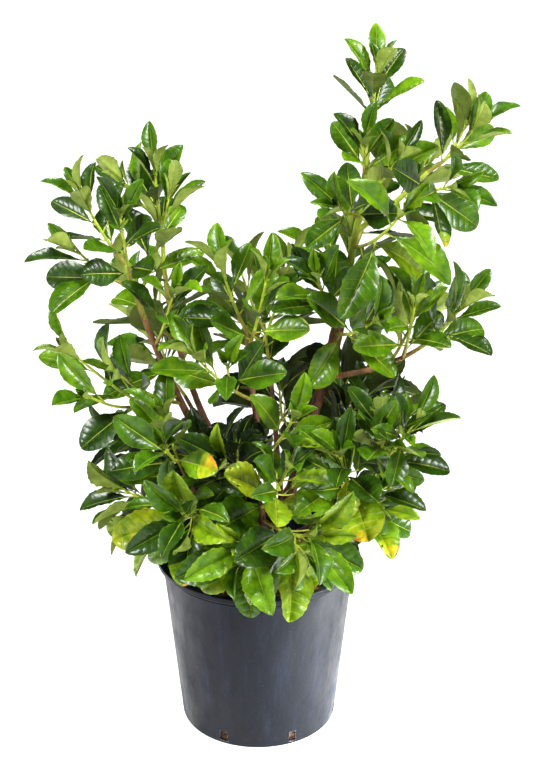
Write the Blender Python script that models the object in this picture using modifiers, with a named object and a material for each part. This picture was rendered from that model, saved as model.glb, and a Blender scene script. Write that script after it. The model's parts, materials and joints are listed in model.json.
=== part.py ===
"""A potted cherry laurel: a young evergreen shrub of several stems in a plastic nursery pot.

Metres, +Z up. The origin is the centre of the pot's flat underside and -Y faces the viewer.
The pot and the soil are turned, the stems are tapered curves, and each mass of foliage is one
leafy shoot with its side twigs, grown by a seeded rule and fused into one solid.
"""

import math
from collections import namedtuple
from random import Random

import bmesh
import bpy
from mathutils import Matrix, Quaternion, Vector
from mathutils.bvhtree import BVHTree

# Pot, a 12 litre nursery pot
POT_HEIGHT = 0.255
POT_RIM_RADIUS = 0.1425
POT_WALL_TOP_RADIUS = 0.1345
POT_WALL_FOOT_RADIUS = 0.1095
POT_WALL = 0.0022
POT_FLOOR = 0.003
POT_FOOT_ROUNDING = 0.0025
RIM_BAND_HEIGHT = 0.008
RIM_ROUNDING = 0.002
RIM_GROOVE = 0.002
TURNED_STEPS = 40
ARC_STEPS = 2
SLOT_COUNT = 7
SLOT_WIDTH = 0.011
SLOT_HEIGHT = 0.0165
SLOT_SILL = 0.005
SLOT_DEPTH = 0.020

# Soil, filled to a little under the rim
SOIL_TOP = 0.230
SOIL_EDGE_DROP = 0.004
SOIL_FLAT_RADIUS = 0.045

# Clearance between pieces that touch, and the distances below which two points are one
GAP = 0.0003
WELD = 0.000001
CAP_WELD = 0.00002
TURNED_WELD = 0.00005

# Edges sharper than this are shown sharp, in degrees
TURNED_EDGE = 35.0
BARK_EDGE = 60.0

# Limbs: a six-sided bough's clearance is a little wider at its flats, and the trunk flares out
# at its foot by a width that dies away over the flare's height
LIMB_POINTS = 8
LIMB_BEVEL_RESOLUTION = 1
LIMB_CLEARANCE = 1.2 * GAP
TRUNK_FOOT = (0.012, 0.006)
TRUNK_FLARE = 0.007
TRUNK_FLARE_HEIGHT = 0.018
TRUNK_FLARE_DECAY = 2.2
TRUNK_FLARE_STEPS = (0.0, 0.25, 0.6, 1.0)

# Twigs: a stem bows out below its chord by a share of its length, and side twigs leave it at
# even steps, from a share of its length upwards
TWIG_POINTS = 4
TWIG_SIDES = 3
TWIG_FOOT_RADIUS = 0.0034
TWIG_TIP_RADIUS = 0.0022
TWIG_RISE = 0.14
TWIG_TURN_STEP = 40
TWIG_CLEARANCE = 0.010
TWIG_TEST_SHARES = (0.0, 0.25, 0.5, 0.75)
SIDE_TWIG_FIRST = 0.42
SIDE_TWIG_STEP = 0.22
SIDE_TWIG_LENGTH = 0.55
SIDE_TWIG_LEAST = 0.045
SIDE_TWIG_VARIES = (0.85, 1.10)
SIDE_TWIG_AZIMUTH = 95.0
SIDE_TWIG_SPREAD = 42.0
SIDE_TWIG_LIFT = 0.12
SIDE_TWIG_FOOT = 0.80
SIDE_LEAF_SHARE = 0.55

# Leaves along a shoot: they turn by the golden angle, stand closer together towards its tip,
# and lie closer to its axis there
DIVERGENCE = 137.5
BARE_SHARE = 0.18
SPACING_POWER = 0.85
SPREAD_LOW = 66.0
SPREAD_TIP = 20.0
SPREAD_POWER = 1.1
SPREAD_VARIES = 7.0
AZIMUTH_VARIES = 9.0
HANG_FALLS_TO = 1.15

# A leaf's blade: old leaves are long and wide, young ones at the tip smaller and more folded
YOUNG_LEAF_SIZE = 0.82
YOUNG_POWER = 1.6
LENGTH_VARIES = (0.88, 1.06)
OLD_LEAF_WIDTH = 0.50
YOUNG_LEAF_WIDTH = 0.39
WIDTH_VARIES = (0.92, 1.10)
OLD_LEAF_FOLD = 0.26
YOUNG_LEAF_FOLD = 0.70
BEND_VARIES = (0.05, 0.16)
HANGING_BEND = 0.22
LEAF_THICKNESS = 0.035
LEAF_ROOT_SUNK = 0.0003

# What a leaf's upper side turns to, beside its shoot, which counts as 1: the sky, away from the
# trunk, and the light that the plant grew in, which came from the front
FACING_UP = 0.30
FACING_OUT = 0.22
FACING_LIGHT = 0.25
ROLL_VARIES = 16.0

# A blade's outline at its five stations from root to tip: the share of its length there, and
# the share of its width out to that side
LEAF_OUTLINE = {-2: (0.0, 0.0), -1: (0.34, 0.37), 0: (0.52, 0.0), 1: (0.72, 0.48), 2: (1.0, 0.0)}
LEAF_CORNERS = 6

# A leaf that touches something is turned round its shoot by these angles in turn. Its test
# shape is a little larger and thicker, and the test against its own shoot leaves out its stalk
LEAF_TRIES = (0.0, 24.0, -24.0, 48.0, -48.0)
CLEAR_SCALE = 1.05
CLEAR_THICKNESS = 0.0016
BLADE_START = 0.16

# The crown's own space, which no leaf leaves
CROWN_LOW = Vector((-0.325, -0.290, 0.190))
CROWN_HIGH = Vector((0.342, 0.280, 0.997))

UP = Vector((0.0, 0.0, 1.0))
FRONT = Vector((0.0, -1.0, 0.0))
NEARLY_FRONT = 0.2

Limb = namedtuple("Limb", "parent at tip bow foot_radius tip_radius")
Mass = namedtuple("Mass", "limb at apex leaves size sides turn droop")
Leaf = namedtuple("Leaf", "root direction normal length width fold bend")

# Each limb: the limb that it leaves and the share of that limb's length below the fork, its tip,
# how far its middle bows out from a straight line, and its two radii
LIMBS = {
    "trunk": Limb(None, 0.0, (0.146, 0.030, 0.855), (0.050, 0.0, 0.070), 0.0095, 0.0028),
    "left_bough": Limb("trunk", 0.03, (-0.172, 0.000, 0.681), (-0.046, 0.0, 0.010), 0.0066, 0.0034),
    "left_back_bough": Limb("trunk", 0.05, (-0.128, 0.080, 0.677), (-0.074, 0.033, 0.0), 0.0056, 0.0030),
    "middle_bough": Limb("trunk", 0.07, (-0.014, -0.022, 0.595), (-0.010, -0.020, 0.0), 0.0056, 0.0030),
    "right_bough": Limb("trunk", 0.74, (0.220, -0.004, 0.809), (0.006, 0.0, -0.004), 0.0040, 0.0028),
    "right_mid_bough": Limb("trunk", 0.40, (0.222, -0.015, 0.573), (0.016, 0.0, -0.016), 0.0042, 0.0028),
    "right_low_bough": Limb("trunk", 0.045, (0.140, -0.080, 0.410), (0.022, -0.012, -0.012), 0.0050, 0.0030),
    "right_back_bough": Limb("trunk", 0.12, (0.120, 0.105, 0.565), (0.015, 0.034, -0.010), 0.0050, 0.0030),
    "front_bough": Limb("trunk", 0.02, (0.006, -0.105, 0.377), (0.002, -0.022, -0.012), 0.0048, 0.0030),
    "left_low_bough": Limb("trunk", 0.06, (-0.090, -0.085, 0.400), (-0.020, -0.018, -0.012), 0.0050, 0.0030),
    "back_left_bough": Limb("trunk", 0.08, (-0.105, 0.130, 0.435), (-0.018, 0.030, -0.014), 0.0048, 0.0028),
    "back_bough": Limb("trunk", 0.10, (0.018, 0.130, 0.465), (0.0, 0.034, -0.014), 0.0048, 0.0028),
}

# Each mass: the limb it continues and where it leaves it, the apex of its shoot, its leaves, the
# length of its largest leaf, its side twigs, where its first leaf points, and how far its leaves
# hang down (or, below zero, stand up)
MASSES = {
    "leader_tip": Mass("trunk", 1.00, (0.153, 0.026, 0.935), 10, 0.080, 0, 160, -0.35),
    "leader_left": Mass("trunk", 0.88, (0.137, 0.004, 0.841), 7, 0.072, 0, 60, -0.30),
    "leader_west": Mass("trunk", 0.78, (0.110, -0.008, 0.761), 7, 0.080, 0, 0, -0.05),
    "leader_right": Mass("trunk", 0.82, (0.180, -0.006, 0.825), 8, 0.080, 0, 290, -0.20),
    "leader_back": Mass("trunk", 0.68, (0.166, 0.096, 0.781), 8, 0.086, 1, 320, -0.05),
    "right_tip": Mass("right_bough", 1.00, (0.274, -0.020, 0.869), 9, 0.080, 1, 90, -0.25),
    "right_fork": Mass("right_bough", 0.80, (0.241, -0.052, 0.803), 8, 0.090, 0, 150, 0.05),
    "right_back_fork": Mass("right_bough", 0.60, (0.220, 0.070, 0.789), 8, 0.088, 1, 100, 0.0),
    "right_hanging": Mass("trunk", 0.70, (0.178, -0.074, 0.769), 6, 0.118, 0, 60, 1.10),
    "right_mid_tip": Mass("right_mid_bough", 1.00, (0.266, -0.030, 0.631), 9, 0.086, 0, 140, -0.10),
    "right_mid_fork": Mass("right_mid_bough", 0.75, (0.204, -0.056, 0.643), 8, 0.084, 0, 140, 0.0),
    "right_mid_back": Mass("right_mid_bough", 0.60, (0.218, 0.062, 0.593), 8, 0.096, 1, 200, 0.05),
    "right_inner": Mass("trunk", 0.50, (0.150, -0.068, 0.627), 8, 0.096, 0, 0, 0.05),
    "right_low_tip": Mass("right_low_bough", 1.00, (0.202, -0.100, 0.493), 9, 0.088, 1, 180, 0.0),
    "right_low_front": Mass("right_low_bough", 0.86, (0.108, -0.136, 0.467), 8, 0.098, 0, 30, 0.10),
    "right_low_drop": Mass("right_low_bough", 0.62, (0.154, -0.112, 0.407), 8, 0.102, 0, 330, 0.25),
    "right_low_side": Mass("trunk", 0.22, (0.178, 0.036, 0.445), 8, 0.100, 1, 130, 0.10),
    "centre_top_left": Mass("middle_bough", 1.00, (-0.046, -0.024, 0.685), 9, 0.078, 0, 290, -0.20),
    "centre_top_right": Mass("middle_bough", 0.92, (0.012, -0.052, 0.677), 9, 0.082, 0, 290, -0.20),
    "centre_right": Mass("trunk", 0.54, (0.080, -0.036, 0.669), 9, 0.086, 0, 0, -0.15),
    "centre_back": Mass("middle_bough", 0.82, (0.040, 0.070, 0.649), 8, 0.088, 1, 160, 0.0),
    "centre_front": Mass("middle_bough", 0.42, (0.046, -0.112, 0.507), 8, 0.088, 0, 80, 0.0),
    "centre_left": Mass("middle_bough", 0.68, (-0.080, -0.072, 0.581), 9, 0.092, 1, 300, 0.05),
    "centre_low": Mass("middle_bough", 0.30, (-0.040, -0.100, 0.441), 9, 0.098, 1, 110, 0.10),
    "front_hub": Mass("front_bough", 1.00, (0.038, -0.150, 0.451), 9, 0.098, 0, 330, 0.10),
    "front_right": Mass("front_bough", 0.84, (0.066, -0.176, 0.373), 9, 0.120, 0, 340, 0.45),
    "front_middle": Mass("front_bough", 0.66, (-0.016, -0.180, 0.361), 9, 0.116, 0, 40, 0.50),
    "front_left": Mass("left_low_bough", 0.76, (-0.092, -0.160, 0.393), 9, 0.112, 0, 310, 0.38),
    "left_low_tip": Mass("left_low_bough", 1.00, (-0.120, -0.100, 0.501), 9, 0.094, 1, 260, 0.05),
    "left_low_side": Mass("left_low_bough", 0.60, (-0.174, -0.050, 0.371), 9, 0.110, 0, 30, 0.30),
    "left_out_tip": Mass("left_bough", 0.44, (-0.244, -0.040, 0.573), 8, 0.094, 1, 260, 0.0),
    "left_top_west": Mass("left_bough", 1.00, (-0.226, -0.006, 0.777), 9, 0.082, 0, 40, -0.15),
    "left_top_front": Mass("left_bough", 0.94, (-0.172, -0.062, 0.767), 9, 0.082, 0, 250, -0.20),
    "left_top_east": Mass("left_bough", 0.88, (-0.114, 0.012, 0.767), 9, 0.082, 0, 330, -0.25),
    "left_top_back": Mass("left_back_bough", 1.00, (-0.136, 0.072, 0.788), 9, 0.082, 1, 170, -0.20),
    "left_far": Mass("left_bough", 0.92, (-0.228, -0.036, 0.709), 6, 0.100, 0, 90, 0.0),
    "left_inner": Mass("left_bough", 0.72, (-0.110, -0.052, 0.655), 8, 0.088, 0, 160, 0.05),
    "left_mid_front": Mass("left_bough", 0.52, (-0.184, -0.066, 0.555), 7, 0.084, 0, 350, 0.05),
    "left_mid_back": Mass("left_back_bough", 0.66, (-0.176, 0.108, 0.615), 9, 0.094, 1, 40, 0.0),
    "back_left": Mass("back_left_bough", 1.00, (-0.152, 0.176, 0.505), 9, 0.102, 1, 290, 0.15),
    "back_left_low": Mass("back_left_bough", 0.66, (-0.172, 0.104, 0.377), 8, 0.112, 0, 240, 0.35),
    "back_top": Mass("back_bough", 1.00, (0.004, 0.166, 0.577), 9, 0.098, 1, 180, 0.05),
    "back_low": Mass("back_bough", 0.66, (0.048, 0.186, 0.397), 8, 0.112, 1, 130, 0.35),
    "back_right": Mass("right_back_bough", 1.00, (0.128, 0.146, 0.669), 9, 0.096, 1, 210, 0.05),
    "back_right_low": Mass("right_back_bough", 0.60, (0.156, 0.150, 0.435), 8, 0.106, 1, 100, 0.25),
}


def clear_scene():
    for item in list(bpy.data.objects):
        bpy.data.objects.remove(item)


def new_collection(name):
    collection = bpy.data.collections.new(name)
    bpy.context.scene.collection.children.link(collection)
    return collection


def plain_material(name, colour, roughness):
    material = bpy.data.materials.new(name)
    material.use_nodes = True
    shader = material.node_tree.nodes["Principled BSDF"]
    shader.inputs["Base Color"].default_value = (*colour, 1.0)
    shader.inputs["Roughness"].default_value = roughness
    shader.inputs["Metallic"].default_value = 0.0
    return material


def add_object(name, mesh, collection):
    item = bpy.data.objects.new(name, mesh)
    collection.objects.link(item)
    return item


def remove_object(item):
    mesh = item.data
    bpy.data.objects.remove(item)
    if mesh.users == 0:
        bpy.data.meshes.remove(mesh)


def evaluated_mesh(item):
    """A new mesh of the object as its modifiers leave it."""
    graph = bpy.context.evaluated_depsgraph_get()
    graph.update()
    return bpy.data.meshes.new_from_object(item.evaluated_get(graph))


def replace_mesh(item, mesh):
    old = item.data
    item.modifiers.clear()
    item.data = mesh
    bpy.data.meshes.remove(old)
    mesh.name = item.name


def apply_modifiers(item):
    """Give the object the mesh that its modifiers make, and drop them."""
    replace_mesh(item, evaluated_mesh(item))


# Pot and soil


def arc(centre_r, centre_z, radius, start, end):
    """Points of an arc in the turning plane, by angle in degrees from the outward direction."""
    for step in range(ARC_STEPS + 1):
        angle = math.radians(start + (end - start) * step / ARC_STEPS)
        yield centre_r + radius * math.cos(angle), centre_z + radius * math.sin(angle)


def wall_radius(height):
    share = height / (POT_HEIGHT - RIM_BAND_HEIGHT)
    return POT_WALL_FOOT_RADIUS + (POT_WALL_TOP_RADIUS - POT_WALL_FOOT_RADIUS) * share


def pot_profile():
    """The cut through the pot's wall: up the inside from the axis, over the rim, down the outside."""
    band_foot = POT_HEIGHT - RIM_BAND_HEIGHT
    yield 0.0, POT_FLOOR
    yield wall_radius(POT_FLOOR) - POT_WALL, POT_FLOOR
    yield wall_radius(band_foot) - POT_WALL, band_foot
    yield wall_radius(band_foot) - POT_WALL + RIM_ROUNDING, POT_HEIGHT
    edge = POT_RIM_RADIUS - RIM_ROUNDING
    yield from arc(edge, POT_HEIGHT - RIM_ROUNDING, RIM_ROUNDING, 90.0, 0.0)
    yield from arc(edge, band_foot + RIM_ROUNDING, RIM_ROUNDING, 0.0, -90.0)
    yield wall_radius(band_foot) + RIM_GROOVE, band_foot
    yield wall_radius(band_foot - RIM_GROOVE), band_foot - RIM_GROOVE
    foot = POT_WALL_FOOT_RADIUS - POT_FOOT_ROUNDING
    yield from arc(foot, POT_FOOT_ROUNDING, POT_FOOT_ROUNDING, 0.0, -90.0)
    yield 0.0, 0.0


def soil_profile():
    """The soil's cut, from the axis on top, out to the pot's wall, down it and back on the floor."""
    side = POT_WALL + GAP
    edge_top = SOIL_TOP - SOIL_EDGE_DROP
    floor = POT_FLOOR + GAP
    yield 0.0, SOIL_TOP
    yield SOIL_FLAT_RADIUS, SOIL_TOP
    yield wall_radius(edge_top) - side - SOIL_EDGE_DROP, edge_top + SOIL_EDGE_DROP / 4
    yield wall_radius(edge_top) - side, edge_top
    yield wall_radius(floor) - side, floor
    yield 0.0, floor


def turned(name, profile, collection):
    """Turn a profile of (radius, height) points about Z with a Screw modifier."""
    points = list(profile)
    mesh = bpy.data.meshes.new(name)
    edges = [(index, index + 1) for index in range(len(points) - 1)]
    mesh.from_pydata([(radius, 0.0, height) for radius, height in points], edges, [])
    item = add_object(name, mesh, collection)
    screw = item.modifiers.new("turn", "SCREW")
    screw.steps = TURNED_STEPS
    screw.render_steps = TURNED_STEPS
    screw.use_merge_vertices = True
    screw.merge_threshold = TURNED_WELD
    return item


def smooth_shaded(item, angle=TURNED_EDGE):
    item.data.shade_smooth()
    item.data.set_sharp_from_angle(angle=math.radians(angle))


def slot_cutters(collection):
    """One box through the wall for each drainage slot, evenly round the foot from the front."""
    boxes = bmesh.new()
    middle = POT_WALL_FOOT_RADIUS
    for index in range(SLOT_COUNT):
        azimuth = math.tau * (index + 0.5) / SLOT_COUNT
        turn = Matrix.Rotation(azimuth - math.tau / 4, 4, "Z")
        place = Matrix.Translation((middle, 0.0, SLOT_SILL + SLOT_HEIGHT / 2))
        size = Matrix.Diagonal((SLOT_DEPTH / 2, SLOT_WIDTH, SLOT_HEIGHT, 1.0))
        bmesh.ops.create_cube(boxes, size=1.0, matrix=turn @ place @ size)
    mesh = bpy.data.meshes.new("slots")
    boxes.to_mesh(mesh)
    boxes.free()
    item = add_object("slots", mesh, collection)
    item.hide_render = True
    item.display_type = "WIRE"
    return item


def make_pot(parts, cutters):
    pot = turned("pot", pot_profile(), parts)
    cut = pot.modifiers.new("slots", "BOOLEAN")
    cut.operation = "DIFFERENCE"
    cut.object = slot_cutters(cutters)
    apply_modifiers(pot)
    smooth_shaded(pot)
    pot.data.materials.append(plain_material("pot_plastic", (0.045, 0.052, 0.062), 0.42))
    return pot


def make_soil(parts):
    soil = turned("soil", soil_profile(), parts)
    apply_modifiers(soil)
    smooth_shaded(soil)
    soil.data.materials.append(plain_material("potting_soil", (0.060, 0.038, 0.025), 0.95))
    return soil


# Limbs


def bent_route(start, end, bow, count):
    """Points along a smooth bend from start to end whose middle is pulled towards the bow."""
    control = (start + end) / 2 + bow
    route = []
    for index in range(count):
        share = index / (count - 1)
        point = start * (1 - share) ** 2 + control * (2 * share * (1 - share)) + end * share**2
        route.append(point)
    return route


def point_on(route, share):
    """The point and the direction at a share of a route's points."""
    place = share * (len(route) - 1)
    index = min(int(place), len(route) - 2)
    step = route[index + 1] - route[index]
    return route[index] + step * (place - index), step.normalized()


def tapered_radii(route, foot_radius, tip_radius):
    last = len(route) - 1
    return [foot_radius + (tip_radius - foot_radius) * index / last for index in range(last + 1)]


def tapered_curve(name, route, radii, collection, profile=None):
    """A round limb, or a three-sided twig along a profile, as a closed mesh made from a curve."""
    curve = bpy.data.curves.new(name, "CURVE")
    curve.dimensions = "3D"
    curve.use_fill_caps = True
    if profile is None:
        curve.bevel_depth = 1.0
        curve.bevel_resolution = LIMB_BEVEL_RESOLUTION
    else:
        curve.bevel_mode = "OBJECT"
        curve.bevel_object = profile
    spline = curve.splines.new("POLY")
    spline.points.add(len(route) - 1)
    for point, place, radius in zip(spline.points, route, radii):
        point.co = (*place, 1.0)
        point.radius = radius
    source = add_object(name, curve, collection)
    mesh = evaluated_mesh(source)
    bpy.data.objects.remove(source)
    bpy.data.curves.remove(curve)
    weld_caps(mesh)
    return add_object(name, mesh, collection)


def weld_caps(mesh):
    shape = bmesh.new()
    shape.from_mesh(mesh)
    bmesh.ops.remove_doubles(shape, verts=shape.verts, dist=CAP_WELD)
    bmesh.ops.recalc_face_normals(shape, faces=shape.faces)
    shape.to_mesh(mesh)
    shape.free()


def twig_profile(collection):
    """The unit triangle that a three-sided twig is drawn along."""
    curve = bpy.data.curves.new("twig_profile", "CURVE")
    curve.dimensions = "2D"
    spline = curve.splines.new("POLY")
    spline.points.add(TWIG_SIDES - 1)
    spline.use_cyclic_u = True
    for index, point in enumerate(spline.points):
        angle = math.tau * index / TWIG_SIDES
        point.co = (math.cos(angle), math.sin(angle), 0.0, 1.0)
    item = add_object("twig_profile", curve, collection)
    item.hide_render = True
    item.display_type = "WIRE"
    return item


def limb_routes():
    """Every limb's centre line, parents first."""
    routes = {}
    for name, limb in LIMBS.items():
        if limb.parent is None:
            start = Vector((*TRUNK_FOOT, SOIL_TOP + GAP))
        else:
            start = point_on(routes[limb.parent], limb.at)[0]
        routes[name] = bent_route(start, Vector(limb.tip), Vector(limb.bow), LIMB_POINTS)
    return routes


def trunk_route_with_foot(route):
    """The trunk's line with more points through its flare and a level cut at the soil."""
    foot = route[0]
    lean = (route[1] - foot) * (TRUNK_FLARE_HEIGHT / (route[1].z - foot.z))
    return [foot + lean * share for share in TRUNK_FLARE_STEPS] + route[1:]


def trunk_radii(route, limb):
    height = route[-1].z - route[0].z
    radii = []
    for point in route:
        risen = point.z - route[0].z
        radius = limb.foot_radius + (limb.tip_radius - limb.foot_radius) * risen / height
        flare = TRUNK_FLARE * math.exp(-TRUNK_FLARE_DECAY * risen / TRUNK_FLARE_HEIGHT)
        radii.append(radius + flare)
    return radii


def level_foot(mesh, height):
    """Move the ring at the trunk's foot into the level plane of the soil."""
    below_next_ring = height + TRUNK_FLARE_HEIGHT * TRUNK_FLARE_STEPS[1] / 2
    for vertex in mesh.vertices:
        if vertex.co.z < below_next_ring:
            vertex.co.z = height


def limb_mesh(name, route, grown, collection):
    """One limb from its centre line, or that limb grown all round by the clearance."""
    limb = LIMBS[name]
    if limb.parent is None:
        route = trunk_route_with_foot(route)
        radii = trunk_radii(route, limb)
    else:
        radii = tapered_radii(route, limb.foot_radius, limb.tip_radius)
    if grown:
        ahead = (route[-1] - route[-2]).normalized()
        route = route[:-1] + [route[-1] + ahead * GAP]
        radii = [radius + LIMB_CLEARANCE for radius in radii]
    item = tapered_curve(name, route, radii, collection)
    if limb.parent is None and not grown:
        level_foot(item.data, SOIL_TOP + GAP)
    return item


def cut_clear(item, cutter):
    cut = item.modifiers.new("fork", "BOOLEAN")
    cut.operation = "DIFFERENCE"
    cut.object = cutter
    apply_modifiers(item)


def make_limbs(routes, parts, cutters):
    """All limbs, each cut clear of the limb it leaves and of the limbs that leave beside it."""
    bark = plain_material("bark", (0.190, 0.120, 0.070), 0.80)
    limbs = {}
    grown = {}
    for name, route in routes.items():
        limbs[name] = limb_mesh(name, route, False, parts)
        grown[name] = limb_mesh(name, route, True, cutters)
        grown[name].name = name + "_clearance"
        for earlier in list(limbs)[:-1]:
            if bvh_of(limbs[name]).overlap(bvh_of(grown[earlier])):
                cut_clear(limbs[name], grown[earlier])
                keep_main_body(limbs[name].data)
        smooth_shaded(limbs[name], BARK_EDGE)
        limbs[name].data.materials.append(bark)
    return limbs, grown


# Masses of foliage


def bvh_of(item):
    shape = bmesh.new()
    shape.from_mesh(item.data)
    tree = BVHTree.FromBMesh(shape)
    shape.free()
    return tree


def side_frame(axis):
    """Two directions square to a shoot: the first turned to the front, the second to its right."""
    front = FRONT - axis * FRONT.dot(axis)
    if front.length < NEARLY_FRONT:
        front = UP - axis * UP.dot(axis)
    front.normalize()
    return front, axis.cross(front)


def around(axis, azimuth, spread):
    """The direction that leaves an axis by an angle, turned round it from the front."""
    front, side = side_frame(axis)
    turn = math.radians(azimuth)
    tilt = math.radians(spread)
    outward = front * math.cos(turn) + side * math.sin(turn)
    return axis * math.cos(tilt) + outward * math.sin(tilt)


def close_points(route):
    """Points close together along a route, for measuring how near it comes to another."""
    for first, second in zip(route, route[1:]):
        for share in TWIG_TEST_SHARES:
            yield first + (second - first) * share
    yield route[-1]


def routes_clear(route, others, clearance):
    """True if a route stays clear of the others."""
    places = list(close_points(route))
    for other in others:
        for point in close_points(other):
            if any((point - place).length < clearance for place in places):
                return False
    return True


def main_twigs(routes):
    """The one stem of every mass, bowed out below its chord and kept clear of the others."""
    twigs = {}
    for name, mass in MASSES.items():
        start = point_on(routes[mass.limb], mass.at)[0]
        apex = Vector(mass.apex)
        length = (apex - start).length
        down = -UP * (TWIG_RISE * length)
        others = [route[1:] for route in twigs.values()]
        others += [route for limb, route in routes.items() if limb != mass.limb]
        for turn in range(0, 360, TWIG_TURN_STEP):
            chord = (apex - start).normalized()
            bow = Quaternion(chord, math.radians(turn)) @ down
            route = bent_route(start, apex, bow, TWIG_POINTS)
            if routes_clear(route[1:], others, TWIG_CLEARANCE):
                break
        twigs[name] = route
    return twigs


def side_twigs(name, mass, stem, taken):
    """The side twigs of a mass, leaving its stem in turn by the same angles as its leaves."""
    draw = Random(name)
    length = sum((b - a).length for a, b in zip(stem, stem[1:]))
    found = []
    for index in range(mass.sides):
        start, axis = point_on(stem, SIDE_TWIG_FIRST + SIDE_TWIG_STEP * index)
        reach = max(SIDE_TWIG_LEAST, SIDE_TWIG_LENGTH * length) * draw.uniform(*SIDE_TWIG_VARIES)
        for nudge in LEAF_TRIES:
            azimuth = mass.turn + SIDE_TWIG_AZIMUTH + DIVERGENCE * index + nudge
            out = around(axis, azimuth, SIDE_TWIG_SPREAD)
            end = start + out * reach + UP * (SIDE_TWIG_LIFT * reach)
            route = bent_route(start, end, -UP * (TWIG_RISE * reach), TWIG_POINTS - 1)
            if routes_clear(route[1:], taken, TWIG_CLEARANCE) and in_crown(end):
                found.append(route)
                taken.append(route)
                break
    return found


def in_crown(point):
    return all(low <= value <= high for low, value, high in zip(CROWN_LOW, point, CROWN_HIGH))


def leaf_on(route, rank, azimuth, mass, draw):
    """A leaf on a shoot by its rank, from 0 for the lowest and oldest to 1 at the tip."""
    root, axis = point_on(route, BARE_SHARE + (1 - BARE_SHARE) * rank**SPACING_POWER)
    spread = SPREAD_LOW + (SPREAD_TIP - SPREAD_LOW) * rank**SPREAD_POWER
    spread += draw.uniform(-SPREAD_VARIES, SPREAD_VARIES)
    azimuth += draw.uniform(-AZIMUTH_VARIES, AZIMUTH_VARIES)
    direction = around(axis, azimuth, spread) - UP * (mass.droop * (HANG_FALLS_TO - rank))
    direction.normalize()
    outward = Vector((root.x, root.y, 0.0)).normalized()
    inward = (axis - direction * axis.dot(direction)).normalized()
    facing = inward + UP * FACING_UP + outward * FACING_OUT + FRONT * FACING_LIGHT
    normal = (facing - direction * facing.dot(direction)).normalized()
    roll = math.radians(draw.uniform(-ROLL_VARIES, ROLL_VARIES))
    normal = Quaternion(direction, roll) @ normal
    length = mass.size * (1 + (YOUNG_LEAF_SIZE - 1) * rank**YOUNG_POWER)
    length *= draw.uniform(*LENGTH_VARIES)
    width = OLD_LEAF_WIDTH + (YOUNG_LEAF_WIDTH - OLD_LEAF_WIDTH) * rank
    width *= length * draw.uniform(*WIDTH_VARIES)
    fold = OLD_LEAF_FOLD + (YOUNG_LEAF_FOLD - OLD_LEAF_FOLD) * rank
    bend = draw.uniform(*BEND_VARIES) + HANGING_BEND * max(0.0, mass.droop)
    return Leaf(root, direction, normal, length, width, fold, bend)


def leaf_matrix(leaf):
    side = leaf.normal.cross(leaf.direction)
    turn = Matrix((leaf.direction, side, leaf.normal)).transposed().to_4x4()
    return Matrix.Translation(leaf.root - leaf.direction * LEAF_ROOT_SUNK) @ turn


def leaf_shape(leaf, thickness, start=0.0, scale=1.0):
    """A six-cornered lens folded along its midrib and bent down, made from a coarse sphere."""
    shape = bmesh.new()
    tip_forward = Matrix.Rotation(math.pi / LEAF_CORNERS, 4, "Z")
    bmesh.ops.create_uvsphere(
        shape, u_segments=LEAF_CORNERS, v_segments=2, radius=1.0, matrix=tip_forward
    )
    for vertex in shape.verts:
        x, y, z = vertex.co
        share, half = LEAF_OUTLINE[round(2 * x)]
        share = start + (1 - start) * share
        length = leaf.length * scale
        half = math.copysign(half * scale * leaf.width, y)
        height = leaf.fold * abs(half) - leaf.bend * share**2 * length + z * thickness / 2
        vertex.co = (share * length, half, height)
    shape.transform(leaf_matrix(leaf))
    return shape


def leaf_fits(leaf, foreign, own):
    """True if the leaf stays in the crown, clear of all other pieces and of its neighbours."""
    thickness = LEAF_THICKNESS * leaf.length
    wide = leaf_shape(leaf, thickness + CLEAR_THICKNESS, 0.0, CLEAR_SCALE)
    blade = leaf_shape(leaf, thickness, BLADE_START, 1.0)
    fits = all(in_crown(vertex.co) for vertex in wide.verts)
    middle = leaf.root + leaf.direction * (leaf.length / 2)
    if fits:
        tree = BVHTree.FromBMesh(wide)
        fits = not any(tree.overlap(other) for centre, reach, other in foreign
                       if (centre - middle).length < reach + leaf.length)
    if fits:
        tree = BVHTree.FromBMesh(blade)
        fits = not any(tree.overlap(other) for other in own)
    wide.free()
    blade.free()
    return fits


def shoot_leaves(name, mass, route, count, foreign, own):
    """The leaves along one shoot, each turned a little if needed, and left out if it never fits."""
    leaves = []
    for index in range(count):
        for turn in LEAF_TRIES:
            draw = Random(f"{name} {index}")
            azimuth = mass.turn + DIVERGENCE * index + turn
            leaf = leaf_on(route, index / (count - 1), azimuth, mass, draw)
            if leaf_fits(leaf, foreign, own):
                leaves.append(leaf)
                blade = leaf_shape(leaf, LEAF_THICKNESS * leaf.length, BLADE_START)
                own.append(BVHTree.FromBMesh(blade))
                blade.free()
                break
    return leaves


def known(item):
    """A piece as its centre, its reach and its surface, for the tests of clearance."""
    corners = [Vector(corner) for corner in item.bound_box]
    centre = sum(corners, Vector()) / len(corners)
    return centre, max((corner - centre).length for corner in corners), bvh_of(item)


def fuse(item, pieces):
    """Join the pieces of a collection to an object by one Boolean union, and remove them."""
    union = item.modifiers.new("fuse", "BOOLEAN")
    union.operation = "UNION"
    union.operand_type = "COLLECTION"
    union.collection = pieces
    for solver, weld in (("EXACT", WELD), ("MANIFOLD", WELD), ("EXACT", 0.0), ("MANIFOLD", 0.0)):
        union.solver = solver
        fused = evaluated_mesh(item)
        keep_main_body(fused, weld)
        if is_closed(fused):
            break
    replace_mesh(item, fused)
    for piece in list(pieces.objects):
        remove_object(piece)


def is_closed(mesh):
    """True if every edge of a mesh joins exactly two faces."""
    shape = bmesh.new()
    shape.from_mesh(mesh)
    closed = all(edge.is_manifold for edge in shape.edges)
    shape.free()
    return closed


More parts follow.
